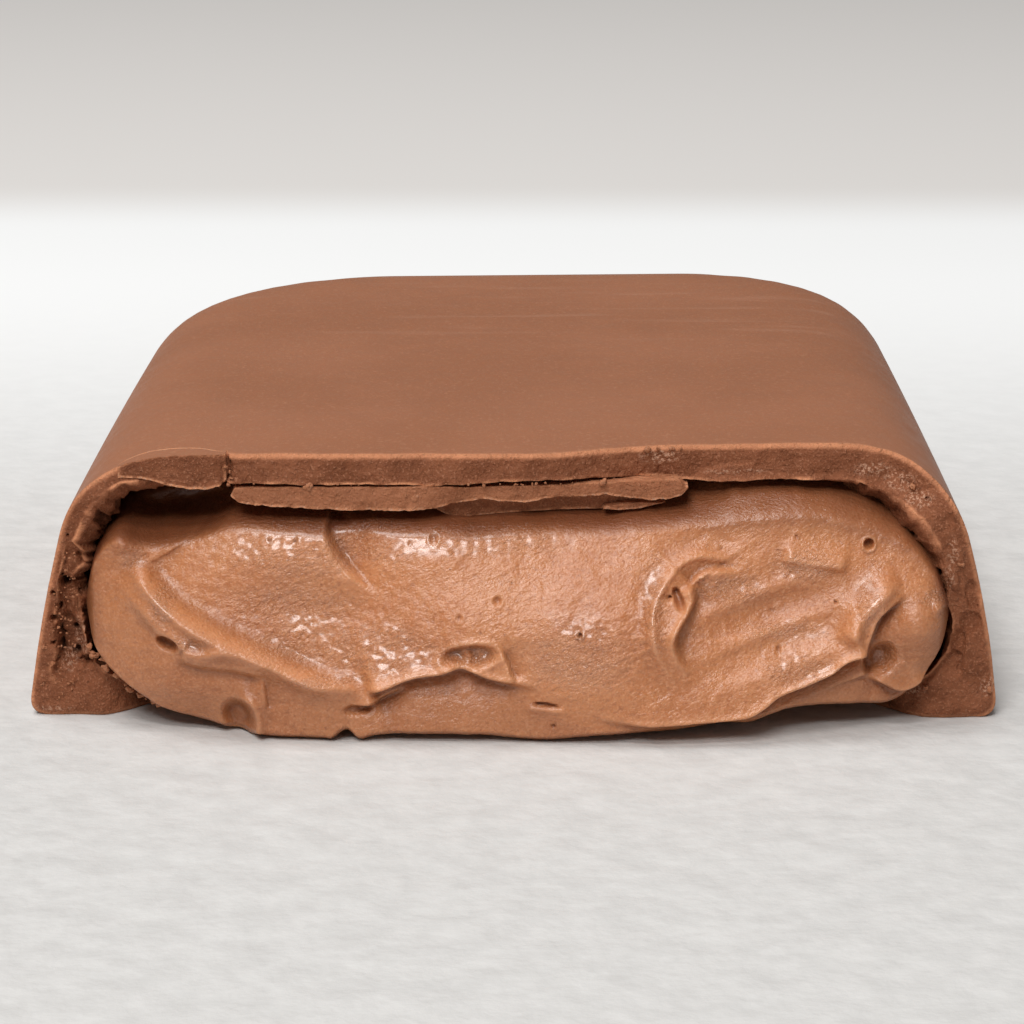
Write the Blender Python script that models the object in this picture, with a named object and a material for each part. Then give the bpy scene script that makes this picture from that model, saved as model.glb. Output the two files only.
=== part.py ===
"""The end of a filled milk chocolate bar, snapped across. Lengths below are in millimetres, and
mesh_object() turns them into metres. The bar lies flat on its base at z = 0, the snapped face looks
to -y and the moulded end lies towards +y."""

import math

import bpy
import numpy as np
from mathutils import Matrix

# ---- the moulded bar -------------------------------------------------------
BASE_WIDTH = 38.0  # across the base
BAR_LENGTH = 39.2  # from the snapped face to the moulded end, along the middle
BAR_HEIGHT = 10.92
WALL_TOP_Z = 7.3  # where the straight drafted wall turns into the rounded shoulder
WALL_DRAFT = 1.63  # how far the wall leans in by that height
SHOULDER_RUN = 5.42  # how far the shoulder reaches in from there to the flat top
END_RADIUS = (13.0, 11.2)  # plan corners of the moulded end, left and right
END_TAPER = (0.74, 0.47)  # how much each side draws in by the moulded end
END_SLANT = 0.059  # the moulded end isn't quite square to the sides

# ---- the chocolate coat ----------------------------------------------------
SIDE_WALL = 1.95
TOP_WALL = 1.2
FLOOR = 1.0
END_WALL = 2.0
CAVITY_FILLET = 2.4  # the cavity's lower edges are rounded
FIT_GAP = 0.3  # clear gap between the coat and every other piece

# ---- the snapped face ------------------------------------------------------
FACE_WAVE = 0.28  # how far the snapped face wanders from a plane
TOP_STEP_BACK = 1.6  # the top layer broke further back on the right
TOP_STEP_X = 2.5  # where that step is half done
FLOOR_STEP_BACK = 2.6  # the floor broke further back, under the filling

# ---- the filling -----------------------------------------------------------
BULGE = 3.0  # how far the filling stands out of the snapped face
FILLING_TOP_Z = 8.75  # the filling's upper surface at the snapped face
LEFT_HOLLOW = 3.6  # depth of the hollow beside the filling, at the upper left
HOLLOW_X = (-17.0, -9.5)
RIGHT_HOLLOW = 1.5
LIP_X = (-13.0, 13.6)  # where its lower edge has sagged in front of the floor
LIP_Z = 0.16  # how near that edge comes to the surface the bar lies on
LIP_RISE = 0.75  # and how much higher it is on the right
LIP_TOP_Z = 1.7

# ---- the two broken pieces -------------------------------------------------
CHIP_X = (-15.9, -11.1)
CHIP_DEPTH = 2.2
CHIP_BOTTOM_Z = 9.05
CHIP_TURN = (0.0, 3.0, -4.0)  # its break isn't square to the bar
SLAB_X = (-10.75, 7.1)
SLAB_DEPTH = 2.8
SLAB_Z = (8.42, 9.36)
SLAB_FRONT_Y = -0.1

# ---- shared ----------------------------------------------------------------
FRONT_CLEAR = -3.5  # cutters start well in front of the snapped face
FILLET_STEPS = (0.0, 0.06, 0.22, 0.5, 1.0)
MILK_CHOCOLATE = (0.36, 0.17, 0.1)
BROKEN_CHOCOLATE = (0.22, 0.085, 0.045)
FILLING_COLOUR = (0.42, 0.18, 0.09)


def smooth(a, b, x):
    """0 below a and 1 above b, with a smooth rise between."""
    t = np.clip((np.asarray(x, float) - a) / (b - a), 0.0, 1.0)
    return t * t * (3.0 - 2.0 * t)


# ---- section of the bar: how far each height is set in from the base -------
def shoulder(steps):
    """(inset, z) pairs up the wall and round the shoulder to the flat top."""
    first = np.array([WALL_DRAFT, WALL_TOP_Z])
    rise = BAR_HEIGHT - WALL_TOP_Z
    handles = (
        first,
        np.array([WALL_DRAFT * 1.3, WALL_TOP_Z + rise * 0.65]),
        np.array([WALL_DRAFT + SHOULDER_RUN * 0.35, BAR_HEIGHT]),
        np.array([WALL_DRAFT + SHOULDER_RUN, BAR_HEIGHT]),
    )
    rows = [np.array([WALL_DRAFT * k / 5.0, WALL_TOP_Z * k / 5.0]) for k in range(5)]
    for k in range(steps + 1):
        t = k / steps
        weights = ((1 - t) ** 3, 3 * (1 - t) ** 2 * t, 3 * (1 - t) * t * t, t**3)
        rows.append(sum(w * h for w, h in zip(weights, handles)))
    return np.array(rows)


def outer_inset(z):
    rows = shoulder(60)
    return np.interp(z, rows[:, 1], rows[:, 0])


def plan_ring(inset, front, across, end_inset):
    """One level of the bar seen from above, as a closed ring that starts at the front left.
    front(x) gives the y of the front edge, and the insets are measured in from the base outline,
    inset at the sides and end_inset at the moulded end."""
    half = BASE_WIDTH / 2
    sides = []
    for side, radius, taper in zip((-1, 1), END_RADIUS, END_TAPER):
        start = BAR_LENGTH - radius
        middle = half - radius
        first = float(front(side * (half - inset)))
        points = [(half - inset, y) for y in np.linspace(first, start, 9)[1:-1]]
        for a in np.linspace(0.0, math.pi / 2, 13):
            x = middle + max(radius - inset, 0.0) * math.cos(a)
            points.append((x, start + max(radius - end_inset, 0.0) * math.sin(a)))
        drawn = [(side * (x - taper * (y / BAR_LENGTH) ** 2), y) for x, y in points]
        sides.append([(x, y * (1 + END_SLANT * x / BAR_LENGTH)) for x, y in drawn])
    xs = np.linspace(-(half - inset), half - inset, across)
    ring = [(x, float(front(x))) for x in xs]
    ring += sides[1]
    ring += sides[0][::-1]
    return ring


def loft(levels, inset_at, front_at, across, end_extra=0.0):
    """A closed solid through the plan rings at the given heights. end_extra sets it in further at
    the moulded end than at the sides."""
    points, faces = [], []
    count = 0
    for z in levels:
        inset = float(inset_at(z))
        ring = plan_ring(inset, lambda x: front_at(x, z), across, inset + end_extra)
        count = len(ring)
        points += [(x, y, z) for x, y in ring]
    for k in range(len(levels) - 1):
        a, b = k * count, (k + 1) * count
        for i in range(count):
            j = (i + 1) % count
            faces.append((a + i, a + j, b + j, b + i))
    faces.append(tuple(range(count))[::-1])
    faces.append(tuple(range((len(levels) - 1) * count, len(levels) * count)))
    return points, faces


# ---- the snapped face and the filling's face -------------------------------
def face_y(x, z):
    """Where the coat ends, as y: a plane with a slow wander, and the two steps back."""
    wander = FACE_WAVE * (0.6 * math.sin(0.42 * x + 0.9) + 0.4 * math.sin(0.9 * x + 0.5 * z))
    edge = 1.0 - smooth(15.0, 18.6, abs(x))
    step = TOP_STEP_BACK * smooth(TOP_STEP_X - 2.5, TOP_STEP_X + 3.0, x)
    step = step * smooth(8.2, 9.8, z) * (1.0 - smooth(14.0, 17.8, x))
    floor = FLOOR_STEP_BACK * (1.0 - smooth(FLOOR, FLOOR + 1.3, z)) * (1.0 - smooth(12.5, 16.6, abs(x)))
    return wander * edge + step + floor


def filling_y(x, z):
    """The torn face of the filling: a swollen middle under a few broad folds."""
    span = BASE_WIDTH / 2 - SIDE_WALL - 1.0
    across = max(1.0 - abs(x / span) ** 5, 0.0)
    low = smooth(0.8, 2.6, z)
    high = 1.0 - 0.55 * smooth(5.2, FILLING_TOP_Z, z)
    swell = BULGE * across * (0.25 + 0.75 * low) * high
    # the long fold that falls from the upper left to the lower middle
    fold_z = 5.0 - 0.27 * (x + 14.5) + 0.012 * (x + 14.5) ** 2
    swell += 0.55 * math.exp(-(((z - fold_z) / 0.7) ** 2)) * (1.0 - smooth(-1.0, 4.0, x))
    # the round scoop on the right, and the lobe beyond it
    scoop = math.exp(-(((x - 10.0) / 3.6) ** 2) - ((z - 4.6) / 2.0) ** 2)
    lobe = math.exp(-(((x - 15.6) / 1.5) ** 2) - ((z - 3.2) / 1.6) ** 2)
    swirl = math.exp(-(((x - 6.3) / 1.0) ** 2) - ((z - 4.4) / 2.2) ** 2)
    swell += -1.0 * scoop + 0.7 * lobe + 0.45 * swirl
    # the hollow at the upper left, and the shallow one at the upper right
    hollow = 1.0 - smooth(HOLLOW_X[0] + 3.0, HOLLOW_X[1], x)
    swell -= (LEFT_HOLLOW + BULGE) * hollow * smooth(5.4, 8.2, z)
    swell -= RIGHT_HOLLOW * smooth(14.0, 16.5, x) * smooth(6.0, 8.2, z)
    return min(-swell, BAR_LENGTH * 0.3)


# ---- the cavity ------------------------------------------------------------
def cavity_inset(z, gap=0.0):
    """How far the cavity's side is set in at this height, rounded at the lower edge."""
    low = FLOOR + gap
    rise = np.clip((z - low) / CAVITY_FILLET, 0.0, 1.0)
    fillet = CAVITY_FILLET * (1.0 - math.sqrt(max(1.0 - (1.0 - rise) ** 2, 0.0)))
    lift = np.clip(z + TOP_WALL + gap, 0.0, BAR_HEIGHT)
    upper = outer_inset(lift) - outer_inset(z)
    return float(outer_inset(z) + SIDE_WALL + gap + fillet + max(upper - 0.4, 0.0) * 0.75)


def mesh_object(name, points, faces, collection, hidden=False):
    mesh = bpy.data.meshes.new(name)
    mesh.from_pydata([tuple(0.001 * c for c in p) for p in points], [], faces)
    mesh.validate()
    obj = bpy.data.objects.new(name, mesh)
    collection.objects.link(obj)
    if hidden:
        obj.hide_render = True
        obj.display_type = "WIRE"
    return obj


def boolean(obj, other, operation):
    step = obj.modifiers.new(f"{operation.lower()} {other.name}", "BOOLEAN")
    step.operation = operation
    step.object = other
    step.solver = "EXACT"


def block(name, low, high, collection, turn=(0.0, 0.0, 0.0)):
    """A hidden box between two corners, turned about its middle by degrees: a cutter."""
    low, high = np.array(low), np.array(high)
    bpy.ops.mesh.primitive_cube_add(size=1.0)
    obj = bpy.context.active_object
    obj.name = name
    obj.data.transform(Matrix.Diagonal((*(0.001 * (high - low)), 1.0)))
    obj.location = 0.0005 * (low + high)
    obj.rotation_euler = [math.radians(a) for a in turn]
    for other in list(obj.users_collection):
        other.objects.unlink(obj)
    collection.objects.link(obj)
    obj.hide_render = True
    obj.display_type = "WIRE"
    return obj


def strip(xs, section):
    """A closed solid through like sections across x: section(x) gives its (y, z) corners in order,
    from the lower front up over the top to the lower back."""
    rows = [section(x) for x in xs]
    count = len(rows[0])
    points = [(x, y, z) for x, row in zip(xs, rows) for y, z in row]
    faces = []
    for k in range(len(rows) - 1):
        a, b = count * k, count * (k + 1)
        for i in range(count):
            j = (i + 1) % count
            faces.append((a + i, b + i, b + j, a + j))
    faces.append(tuple(range(count)))
    faces.append(tuple(range(count * (len(rows) - 1), count * len(rows)))[::-1])
    return points, faces


def slab_section(x):
    """The strip that came away from under the top: uneven edges, thinner to the right."""
    t = (x - SLAB_X[0]) / (SLAB_X[1] - SLAB_X[0])
    end = min(smooth(-0.04, 0.05, t), 1.0 - 0.55 * smooth(0.9, 1.0, t))
    notch = math.exp(-(((x + 1.6) / 0.9) ** 2))
    front = SLAB_FRONT_Y + 0.45 * notch + 0.12 * math.sin(1.3 * x)
    front += 0.3 * TOP_STEP_BACK * smooth(0.0, 5.0, x)
    back = SLAB_FRONT_Y + SLAB_DEPTH * (0.55 + 0.45 * end) + 0.2 * math.sin(0.8 * x + 1.0)
    low = SLAB_Z[0] + 0.3 * smooth(0.45, 0.75, t) + 0.08 * math.sin(1.9 * x)
    high = SLAB_Z[1] - 0.1 * (1.0 - end) + 0.1 * smooth(0.5, 0.8, t) - 0.07 * notch
    middle, thick = 0.5 * (low + high), 0.5 * (high - low) * end
    return [
        (front + 0.16, middle - thick),
        (front, middle - thick * 0.4),
        (front + 0.05, middle + thick * 0.5),
        (front + 0.3, middle + thick),
        (back, middle + thick * 0.9),
        (back, middle - thick * 0.9),
    ]


def lip_section(x):
    """The filling's lower edge, which has sagged out in front of the floor of the coat."""
    low = LIP_Z + LIP_RISE * smooth(1.0, 10.0, x) + 0.06 * math.sin(2.3 * x)
    low += (LIP_TOP_Z - 0.25 - low) * max(smooth(-10.6, LIP_X[0], x), smooth(10.0, LIP_X[1], x))
    front = filling_y(x, LIP_TOP_Z)
    back = FLOOR_STEP_BACK - 0.5 - FACE_WAVE
    return [
        (front + 0.45, low),
        (front + 0.08, low + 0.24 * (LIP_TOP_Z - low)),
        (front, LIP_TOP_Z),
        (back, LIP_TOP_Z + 0.3),
        (back, max(low, 0.45)),
    ]


def finish(obj, name, colour, roughness):
    """Gives the object its material, flat where it is broken and smooth where it was moulded."""
    material = bpy.data.materials.new(name)
    material.use_nodes = True
    shader = material.node_tree.nodes["Principled BSDF"]
    shader.inputs["Base Color"].default_value = (*colour, 1.0)
    shader.inputs["Roughness"].default_value = roughness
    shader.inputs["Metallic"].default_value = 0.0
    obj.data.materials.append(material)
    obj.data.shade_smooth()
    obj.data.set_sharp_from_angle(angle=math.radians(40.0))


def make_cavity(cutters):
    top = BAR_HEIGHT - TOP_WALL
    levels = [FLOOR + CAVITY_FILLET * s for s in FILLET_STEPS]
    levels += list(np.linspace(FLOOR + CAVITY_FILLET, top, 8)[1:])
    form = loft(levels, cavity_inset, lambda x, z: FRONT_CLEAR, 8, END_WALL - SIDE_WALL)
    return mesh_object("cavity", *form, cutters, hidden=True)


def make_shell(home, cutters, bar_levels):
    """The coat: the moulded bar, hollowed from the snapped face, with the chip's seat broken out."""
    shell = mesh_object("shell", *loft(bar_levels, outer_inset, face_y, 34), home)
    boolean(shell, make_cavity(cutters), "DIFFERENCE")
    seat = block(
        "chip_seat",
        (CHIP_X[0] - FIT_GAP, FRONT_CLEAR, CHIP_BOTTOM_Z - 1.4),
        (CHIP_X[1] + FIT_GAP, CHIP_DEPTH + FIT_GAP, BAR_HEIGHT + 2.0),
        cutters,
        CHIP_TURN,
    )
    boolean(shell, seat, "DIFFERENCE")
    return shell


def make_chip(home, cutters, bar_levels):
    """A chip of the top left edge that has cracked off and still lies in its seat."""
    chip_levels = [z for z in bar_levels if z > CHIP_BOTTOM_Z - 1.5]
    chip = mesh_object("edge_chip", *loft(chip_levels, outer_inset, face_y, 60), home)
    body = block(
        "chip_block",
        (CHIP_X[0], FRONT_CLEAR, CHIP_BOTTOM_Z),
        (CHIP_X[1], CHIP_DEPTH, BAR_HEIGHT + 2.0),
        cutters,
        CHIP_TURN,
    )
    boolean(chip, body, "INTERSECT")
    return chip


def make_filling(home, cutters):
    """The filling, which runs the length of the cavity and stands out of the snapped face."""
    low = FLOOR + FIT_GAP
    high = BAR_HEIGHT - TOP_WALL - FIT_GAP
    levels = [low + CAVITY_FILLET * s for s in FILLET_STEPS]
    levels += list(np.linspace(low + CAVITY_FILLET, high, 11)[1:])
    form = loft(levels, lambda z: cavity_inset(z, FIT_GAP), filling_y, 54, END_WALL - SIDE_WALL)
    filling = mesh_object("filling", *form, home)
    trim = block(
        "face_trim",
        (-BASE_WIDTH, 3.0 * FRONT_CLEAR, SLAB_Z[0] - 0.4),
        (BASE_WIDTH, SLAB_DEPTH + 0.6, BAR_HEIGHT + 2.0),
        cutters,
    )
    boolean(filling, trim, "DIFFERENCE")
    lip = mesh_object("lip", *strip(np.linspace(*LIP_X, 40), lip_section), cutters, hidden=True)
    boolean(filling, lip, "UNION")
    return filling


def build():
    for obj in list(bpy.data.objects):
        bpy.data.objects.remove(obj)
    home = bpy.data.collections.new("filled_chocolate_bar_piece")
    cutters = bpy.data.collections.new("cutters")
    for collection in (home, cutters):
        bpy.context.scene.collection.children.link(collection)
    bar_levels = [WALL_TOP_Z * k / 6 for k in range(6)] + list(shoulder(9)[5:, 1])
    shell = make_shell(home, cutters, bar_levels)
    chip = make_chip(home, cutters, bar_levels)
    filling = make_filling(home, cutters)
    slab = mesh_object("inner_slab", *strip(np.linspace(*SLAB_X, 26), slab_section), home)
    finish(shell, "milk_chocolate", MILK_CHOCOLATE, 0.45)
    finish(chip, "chip_chocolate", MILK_CHOCOLATE, 0.5)
    finish(slab, "broken_chocolate", BROKEN_CHOCOLATE, 0.55)
    finish(filling, "filling", FILLING_COLOUR, 0.4)
    return shell, chip, filling, slab


def centre(pieces):
    """Puts the middle of the whole piece over the origin, and its base on z = 0."""
    bpy.context.view_layer.update()
    graph = bpy.context.evaluated_depsgraph_get()
    corners = []
    for piece in pieces:
        seen = piece.evaluated_get(graph)
        corners += [seen.matrix_world @ v.co for v in seen.to_mesh().vertices]
        seen.to_mesh_clear()
    corners = np.array([tuple(c) for c in corners])
    low, high = corners.min(axis=0), corners.max(axis=0)
    for obj in bpy.data.objects:
        obj.location.x -= 0.5 * (low[0] + high[0])
        obj.location.y -= 0.5 * (low[1] + high[1])
        obj.location.z -= low[2]


centre(build())
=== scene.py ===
"""Looks for the snapped end of a filled milk chocolate bar: the moulded coat with its broken face, the
soft filling that stands out of it, the chip and the strip that cracked off, and their crumbs.

Shapes are worked out in millimetres in the bar's own frame, where y = 0 is the plane of the snapped
face, +y runs to the moulded end, and z = 0 is the base. new_object() turns them into metres."""

import itertools
import math

import bmesh
import bpy
import numpy as np
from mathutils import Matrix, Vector


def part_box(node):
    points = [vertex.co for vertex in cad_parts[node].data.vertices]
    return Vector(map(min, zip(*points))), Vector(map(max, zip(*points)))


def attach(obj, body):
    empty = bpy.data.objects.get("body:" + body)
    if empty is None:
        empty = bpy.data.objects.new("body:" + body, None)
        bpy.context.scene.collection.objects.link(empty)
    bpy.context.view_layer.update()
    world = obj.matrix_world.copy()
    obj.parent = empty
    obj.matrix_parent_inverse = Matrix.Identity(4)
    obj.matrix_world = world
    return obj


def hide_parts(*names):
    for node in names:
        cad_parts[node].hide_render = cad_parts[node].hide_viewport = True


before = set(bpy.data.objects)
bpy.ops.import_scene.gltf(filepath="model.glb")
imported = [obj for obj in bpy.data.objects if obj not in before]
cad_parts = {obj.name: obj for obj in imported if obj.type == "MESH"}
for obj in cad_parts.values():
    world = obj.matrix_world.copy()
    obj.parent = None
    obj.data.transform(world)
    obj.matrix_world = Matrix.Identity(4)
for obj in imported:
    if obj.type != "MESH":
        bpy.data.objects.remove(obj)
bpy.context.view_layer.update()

# ---- where the bar is ------------------------------------------------------
MM = 0.001
FACE_LEAD = 0.17  # the coat's foremost point stands this far in front of the face's plane
shell_low, shell_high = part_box("shell")
ORIGIN = np.array(
    [0.5 * (shell_low.x + shell_high.x), shell_low.y + FACE_LEAD * MM, shell_low.z]
)
HALF_WIDTH = 0.5 * (shell_high.x - shell_low.x) / MM
BAR_HEIGHT = (shell_high.z - shell_low.z) / MM


def in_scene(x, y, z):
    """A place in the bar's frame, in mm, as a place in the scene, in metres."""
    return Vector((np.array([x, y, z]) * MM + ORIGIN).tolist())


# ---- the moulded form, as in the CAD model ---------------------------------
BAR_LENGTH = 39.2
WALL_TOP_Z = 7.3
WALL_DRAFT = 1.63
SHOULDER_RUN = 5.42
END_RADIUS = (13.0, 11.2)
END_TAPER = (0.74, 0.47)
END_SLANT = 0.059
SIDE_WALL, TOP_WALL, FLOOR, END_WALL = 1.95, 1.2, 1.0, 2.0
SPINE_Z = 5.2  # rings are drawn round a level line at this height,
SPINE_X = 13.0  # which runs this far to each side
FAN_Y = 22.0  # behind this the rings close round the moulded end
BASE_ROUND = 0.8
WALL_BULGE = (0.2, 0.32)
SAG = 0.16  # how far the thin top has sunk along the break
SAG_BACK = 4.0  # and how far back it is level again


# ---- numbers ---------------------------------------------------------------
def smooth(a, b, x):
    """0 before a and 1 after b, with a smooth rise between. It falls if b is before a."""
    t = np.clip((np.asarray(x, float) - a) / (b - a), 0.0, 1.0)
    return t * t * (3.0 - 2.0 * t)


def window(a, b, c, d, x):
    """1 from b to c and 0 before a or after d, with smooth slopes between."""
    return smooth(a, b, x) * smooth(d, c, x)


def bump_at(x, middle, width):
    """A soft bump, 1 at its middle."""
    return np.exp(-(((x - middle) / width) ** 2))


def mound(x, z, middle, radii):
    """A soft oval bump, 1 at its middle."""
    return bump_at(x, middle[0], radii[0]) * bump_at(z, middle[1], radii[1])


def patches(x, z, spots, outer, inner):
    """1 inside each oval of (middle, radii), fading from `inner` to `outer` of its radii."""
    total = np.zeros(x.shape)
    for middle, radii in spots:
        away = np.hypot((x - middle[0]) / radii[0], (z - middle[1]) / radii[1])
        total = total + smooth(outer, inner, away)
    return np.minimum(total, 1.0)


def height_of(line, x):
    """The height at x of a line of (x, z) points."""
    return np.interp(x, *np.array(line).T)


def lattice(cell, seed):
    """A repeatable number from -1 to 1 for each whole-numbered corner."""
    h = cell[..., 0] * 73856093 ^ cell[..., 1] * 19349663 ^ cell[..., 2] * 83492791
    h = h ^ (seed * 40503 + 977)
    h = (h ^ (h >> 13)) * 1274126177
    h = h ^ (h >> 16)
    return (h & 0xFFFFF) / 524287.5 - 1.0


def noise(points, size, seed=0, octaves=3, gain=0.5):
    """Smooth noise from about -1 to 1, whose largest lumps are `size` mm across."""
    total, weight, reach = 0.0, 1.0, 0.0
    for k in range(octaves):
        p = points * (2.0**k / size) + 31.7 * k
        cell = np.floor(p).astype(np.int64)
        f = p - cell
        f = f * f * (3.0 - 2.0 * f)
        value = 0.0
        for corner in itertools.product((0, 1), repeat=3):
            share = np.prod(np.where(corner, f, 1.0 - f), axis=-1)
            value = value + share * lattice(cell + np.array(corner), seed + 13 * k)
        total = total + weight * value
        reach += weight
        weight *= gain
    return total / reach


def ridged(points, size, seed=0, octaves=3):
    """Noise with sharp crests, from 0 to 1."""
    return 1.0 - np.abs(noise(points, size, seed, octaves))


def rounded_line(points, steps=6):
    """A smooth line through the points, as a denser list."""
    p = np.array(points, float)
    p = np.vstack([2 * p[0] - p[1], p, 2 * p[-1] - p[-2]])
    out = []
    for a, b, c, d in zip(p, p[1:], p[2:], p[3:]):
        for t in np.arange(steps) / steps:
            out.append(0.5 * (2 * b + (c - a) * t + (2 * a - 5 * b + 4 * c - d) * t**2
                              + (3 * b - a - 3 * c + d) * t**3))
    return np.array(out + [p[-2]])


def beside(x, z, points, reach):
    """How far each place is from a smooth line, positive on the line's left, and how far along it."""
    line = rounded_line(points)
    away = np.full(x.shape, 1e3)
    share = np.zeros(x.shape)
    low, high = line.min(axis=0) - reach, line.max(axis=0) + reach
    near = (x > low[0]) & (x < high[0]) & (z > low[1]) & (z < high[1])
    px, pz = x[near], z[near]
    best = np.full(px.shape, 1e6)
    side, where = np.ones(px.shape), np.zeros(px.shape)
    count = len(line) - 1
    for k, (a, b) in enumerate(zip(line, line[1:])):
        run = b - a
        t = np.clip(((px - a[0]) * run[0] + (pz - a[1]) * run[1]) / (run @ run), 0.0, 1.0)
        dx, dz = px - a[0] - t * run[0], pz - a[1] - t * run[1]
        gap = np.hypot(dx, dz)
        closer = gap < best
        best = np.where(closer, gap, best)
        side = np.where(closer, np.sign(run[0] * dz - run[1] * dx), side)
        where = np.where(closer, (k + t) / count, where)
    away[near] = best * np.where(side == 0, 1.0, side)
    share[near] = where
    return away, share


def fading(share, first, last):
    """1 along a line, falling to 0 at its two ends."""
    return smooth(0.0, max(first, 1e-3), share) * smooth(1.0, 1.0 - max(last, 1e-3), share)


def fold(x, z, line, height, left, right, ends=(0.2, 0.2)):
    """A raised line that falls away over `left` mm on its left and `right` mm on its right."""
    away, share = beside(x, z, line, 3.0 * max(left, right))
    width = np.where(away > 0, left, right)
    return height * fading(share, *ends) * np.exp(-((away / width) ** 2))


def ledge(x, z, line, height, face, fade, ends=(0.2, 0.2)):
    """A step along a line: its left side stands out and its right side is sunk."""
    away, share = beside(x, z, line, 4.0 * fade)
    up = smooth(-0.5 * face, 0.5 * face, away)
    level = (2.0 * up - 1.0) * np.exp(-np.maximum(np.abs(away) - 0.5 * face, 0.0) / fade)
    return 0.5 * height * fading(share, *ends) * level


def bowl(x, z, middle, radii, depth, turn=0.0, rim=0.0, flat=0.0):
    """A dent with an optional raised rim. Turn is in degrees, anticlockwise from the front."""
    c, s = math.cos(math.radians(turn)), math.sin(math.radians(turn))
    dx, dz = x - middle[0], z - middle[1]
    r = np.hypot((dx * c + dz * s) / radii[0], (dz * c - dx * s) / radii[1])
    return rim * bump_at(r, 1.08, 0.16) - depth * smooth(1.0, flat, r)


def soften(values, steps):
    """Each value averaged with its neighbours, again and again."""
    for _ in range(steps):
        p = np.pad(values, 1, mode="edge")
        values = (p[1:-1, 1:-1] * 4 + p[:-2, 1:-1] + p[2:, 1:-1] + p[1:-1, :-2] + p[1:-1, 2:]) / 8
    return values


# ---- the moulded form ------------------------------------------------------
def shoulder(steps=80):
    """(inset, z) up the wall and round the shoulder to the flat top."""
    rise = BAR_HEIGHT - WALL_TOP_Z
    handles = np.array([
        (WALL_DRAFT, WALL_TOP_Z),
        (WALL_DRAFT * 1.3, WALL_TOP_Z + rise * 0.65),
        (WALL_DRAFT + SHOULDER_RUN * 0.35, BAR_HEIGHT),
        (WALL_DRAFT + SHOULDER_RUN, BAR_HEIGHT),
    ])
    t = np.linspace(0.0, 1.0, steps)[:, None]
    weights = np.hstack([(1 - t) ** 3, 3 * (1 - t) ** 2 * t, 3 * (1 - t) * t * t, t**3])
    return np.vstack([[(0.0, 0.0)], weights @ handles])


def wall_bulge(x, z):
    """How far the side walls swell out of their straight draft at the break."""
    t = np.clip(z / (WALL_TOP_Z + 2.5), 0.0, 1.0)
    return 4 * t * (1 - t) * np.interp(x, (-17, -14, 14, 17), (-WALL_BULGE[0], 0, 0, WALL_BULGE[1]))


SHOULDER = shoulder()


def depth_inside(p):
    """How far inside the moulded form each point is, before the taper and the slant: 0 on it."""
    x, y, z = p[..., 0], p[..., 1], p[..., 2]
    radius = np.where(x < 0, *END_RADIUS)
    qx, qy = np.abs(x) - (HALF_WIDTH - radius), y - (BAR_LENGTH - radius)
    corner = np.hypot(np.maximum(qx, 0), np.maximum(qy, 0)) + np.minimum(np.maximum(qx, qy), 0)
    side = radius - corner - np.interp(z, SHOULDER[:, 1], SHOULDER[:, 0])
    h = np.clip(0.5 + 0.5 * (z - side) / BASE_ROUND, 0.0, 1.0)
    base = side * h + z * (1 - h) - BASE_ROUND * h * (1 - h)
    return np.minimum(base, BAR_HEIGHT - z)


def reach_out(start, way):
    """The distance from each start to the moulded form along its way."""
    low, high = np.zeros(start.shape[:-1]), np.full(start.shape[:-1], 50.0)
    for _ in range(44):
        middle = 0.5 * (low + high)
        inside = depth_inside(start + way * middle[..., None]) > 0
        low, high = np.where(inside, middle, low), np.where(inside, high, middle)
    return 0.5 * (low + high)


def settle(p):
    """Draws the sides in towards the moulded end, and slants that end."""
    x, y, z = p[..., 0], p[..., 1], p[..., 2]
    far = np.clip(y / BAR_LENGTH, 0.0, 2.0)
    taper = np.interp(x, (-HALF_WIDTH, 0, HALF_WIDTH), (-END_TAPER[0], 0, END_TAPER[1]))
    x = x - taper * far**2 + wall_bulge(x, z)
    return np.stack([x, y * (1 + END_SLANT * x / BAR_LENGTH), z], axis=-1)


def spokes(xz):
    """The spine's nearest point to each place in the face, and the way out from it."""
    start = np.stack([np.clip(xz[:, 0], -SPINE_X, SPINE_X), np.full(len(xz), SPINE_Z)], axis=1)
    way = xz - start
    return start, way / np.linalg.norm(way, axis=1)[:, None]


def turn_of(xz):
    """One number that grows clockwise round the spine, from the top left."""
    start, way = spokes(xz)
    angle = np.degrees(np.arctan2(way[:, 0], way[:, 1])) % 360.0
    x = start[:, 0]
    top, bottom = np.abs(angle - 180) > 90, np.abs(angle - 180) <= 90
    level = np.abs(xz[:, 0]) < SPINE_X
    number = np.where(level & top, x, 0.0)
    number = np.where(level & bottom, 2 * SPINE_X + 18 - x, number)
    number = np.where(xz[:, 0] >= SPINE_X, SPINE_X + angle / 10.0, number)
    return np.where(xz[:, 0] <= -SPINE_X, 3 * SPINE_X + angle / 10.0, number)


TURN_PERIOD = 4 * SPINE_X + 36


def ring_of_face(fine, coarse):
    """Places round the moulded outline in the face, closer together where they show."""
    wall = [(-(HALF_WIDTH - inset), z) for inset, z in SHOULDER]
    corner = [(-HALF_WIDTH + BASE_ROUND * k / 4, 0.0) for k in (4, 3, 2, 1)]
    left = np.array([(-HALF_WIDTH + 8.0, 0.0)] + corner + wall)
    right = left[::-1] * (-1, 1)
    loop = np.vstack([left, right, [(0.0, 0.0)], left[:1]])
    run = np.linalg.norm(np.diff(loop, axis=0), axis=1)
    middle = 0.5 * (loop[1:] + loop[:-1])
    pace = np.where((middle[:, 1] < 0.01) & (np.abs(middle[:, 0]) < HALF_WIDTH - 6.0), coarse, fine)
    count = np.concatenate([[0.0], np.cumsum(run / pace)])
    at = np.arange(int(count[-1])) * count[-1] / int(count[-1])
    return np.stack([np.interp(at, count, loop[:, 0]), np.interp(at, count, loop[:, 1])], axis=1)


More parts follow.
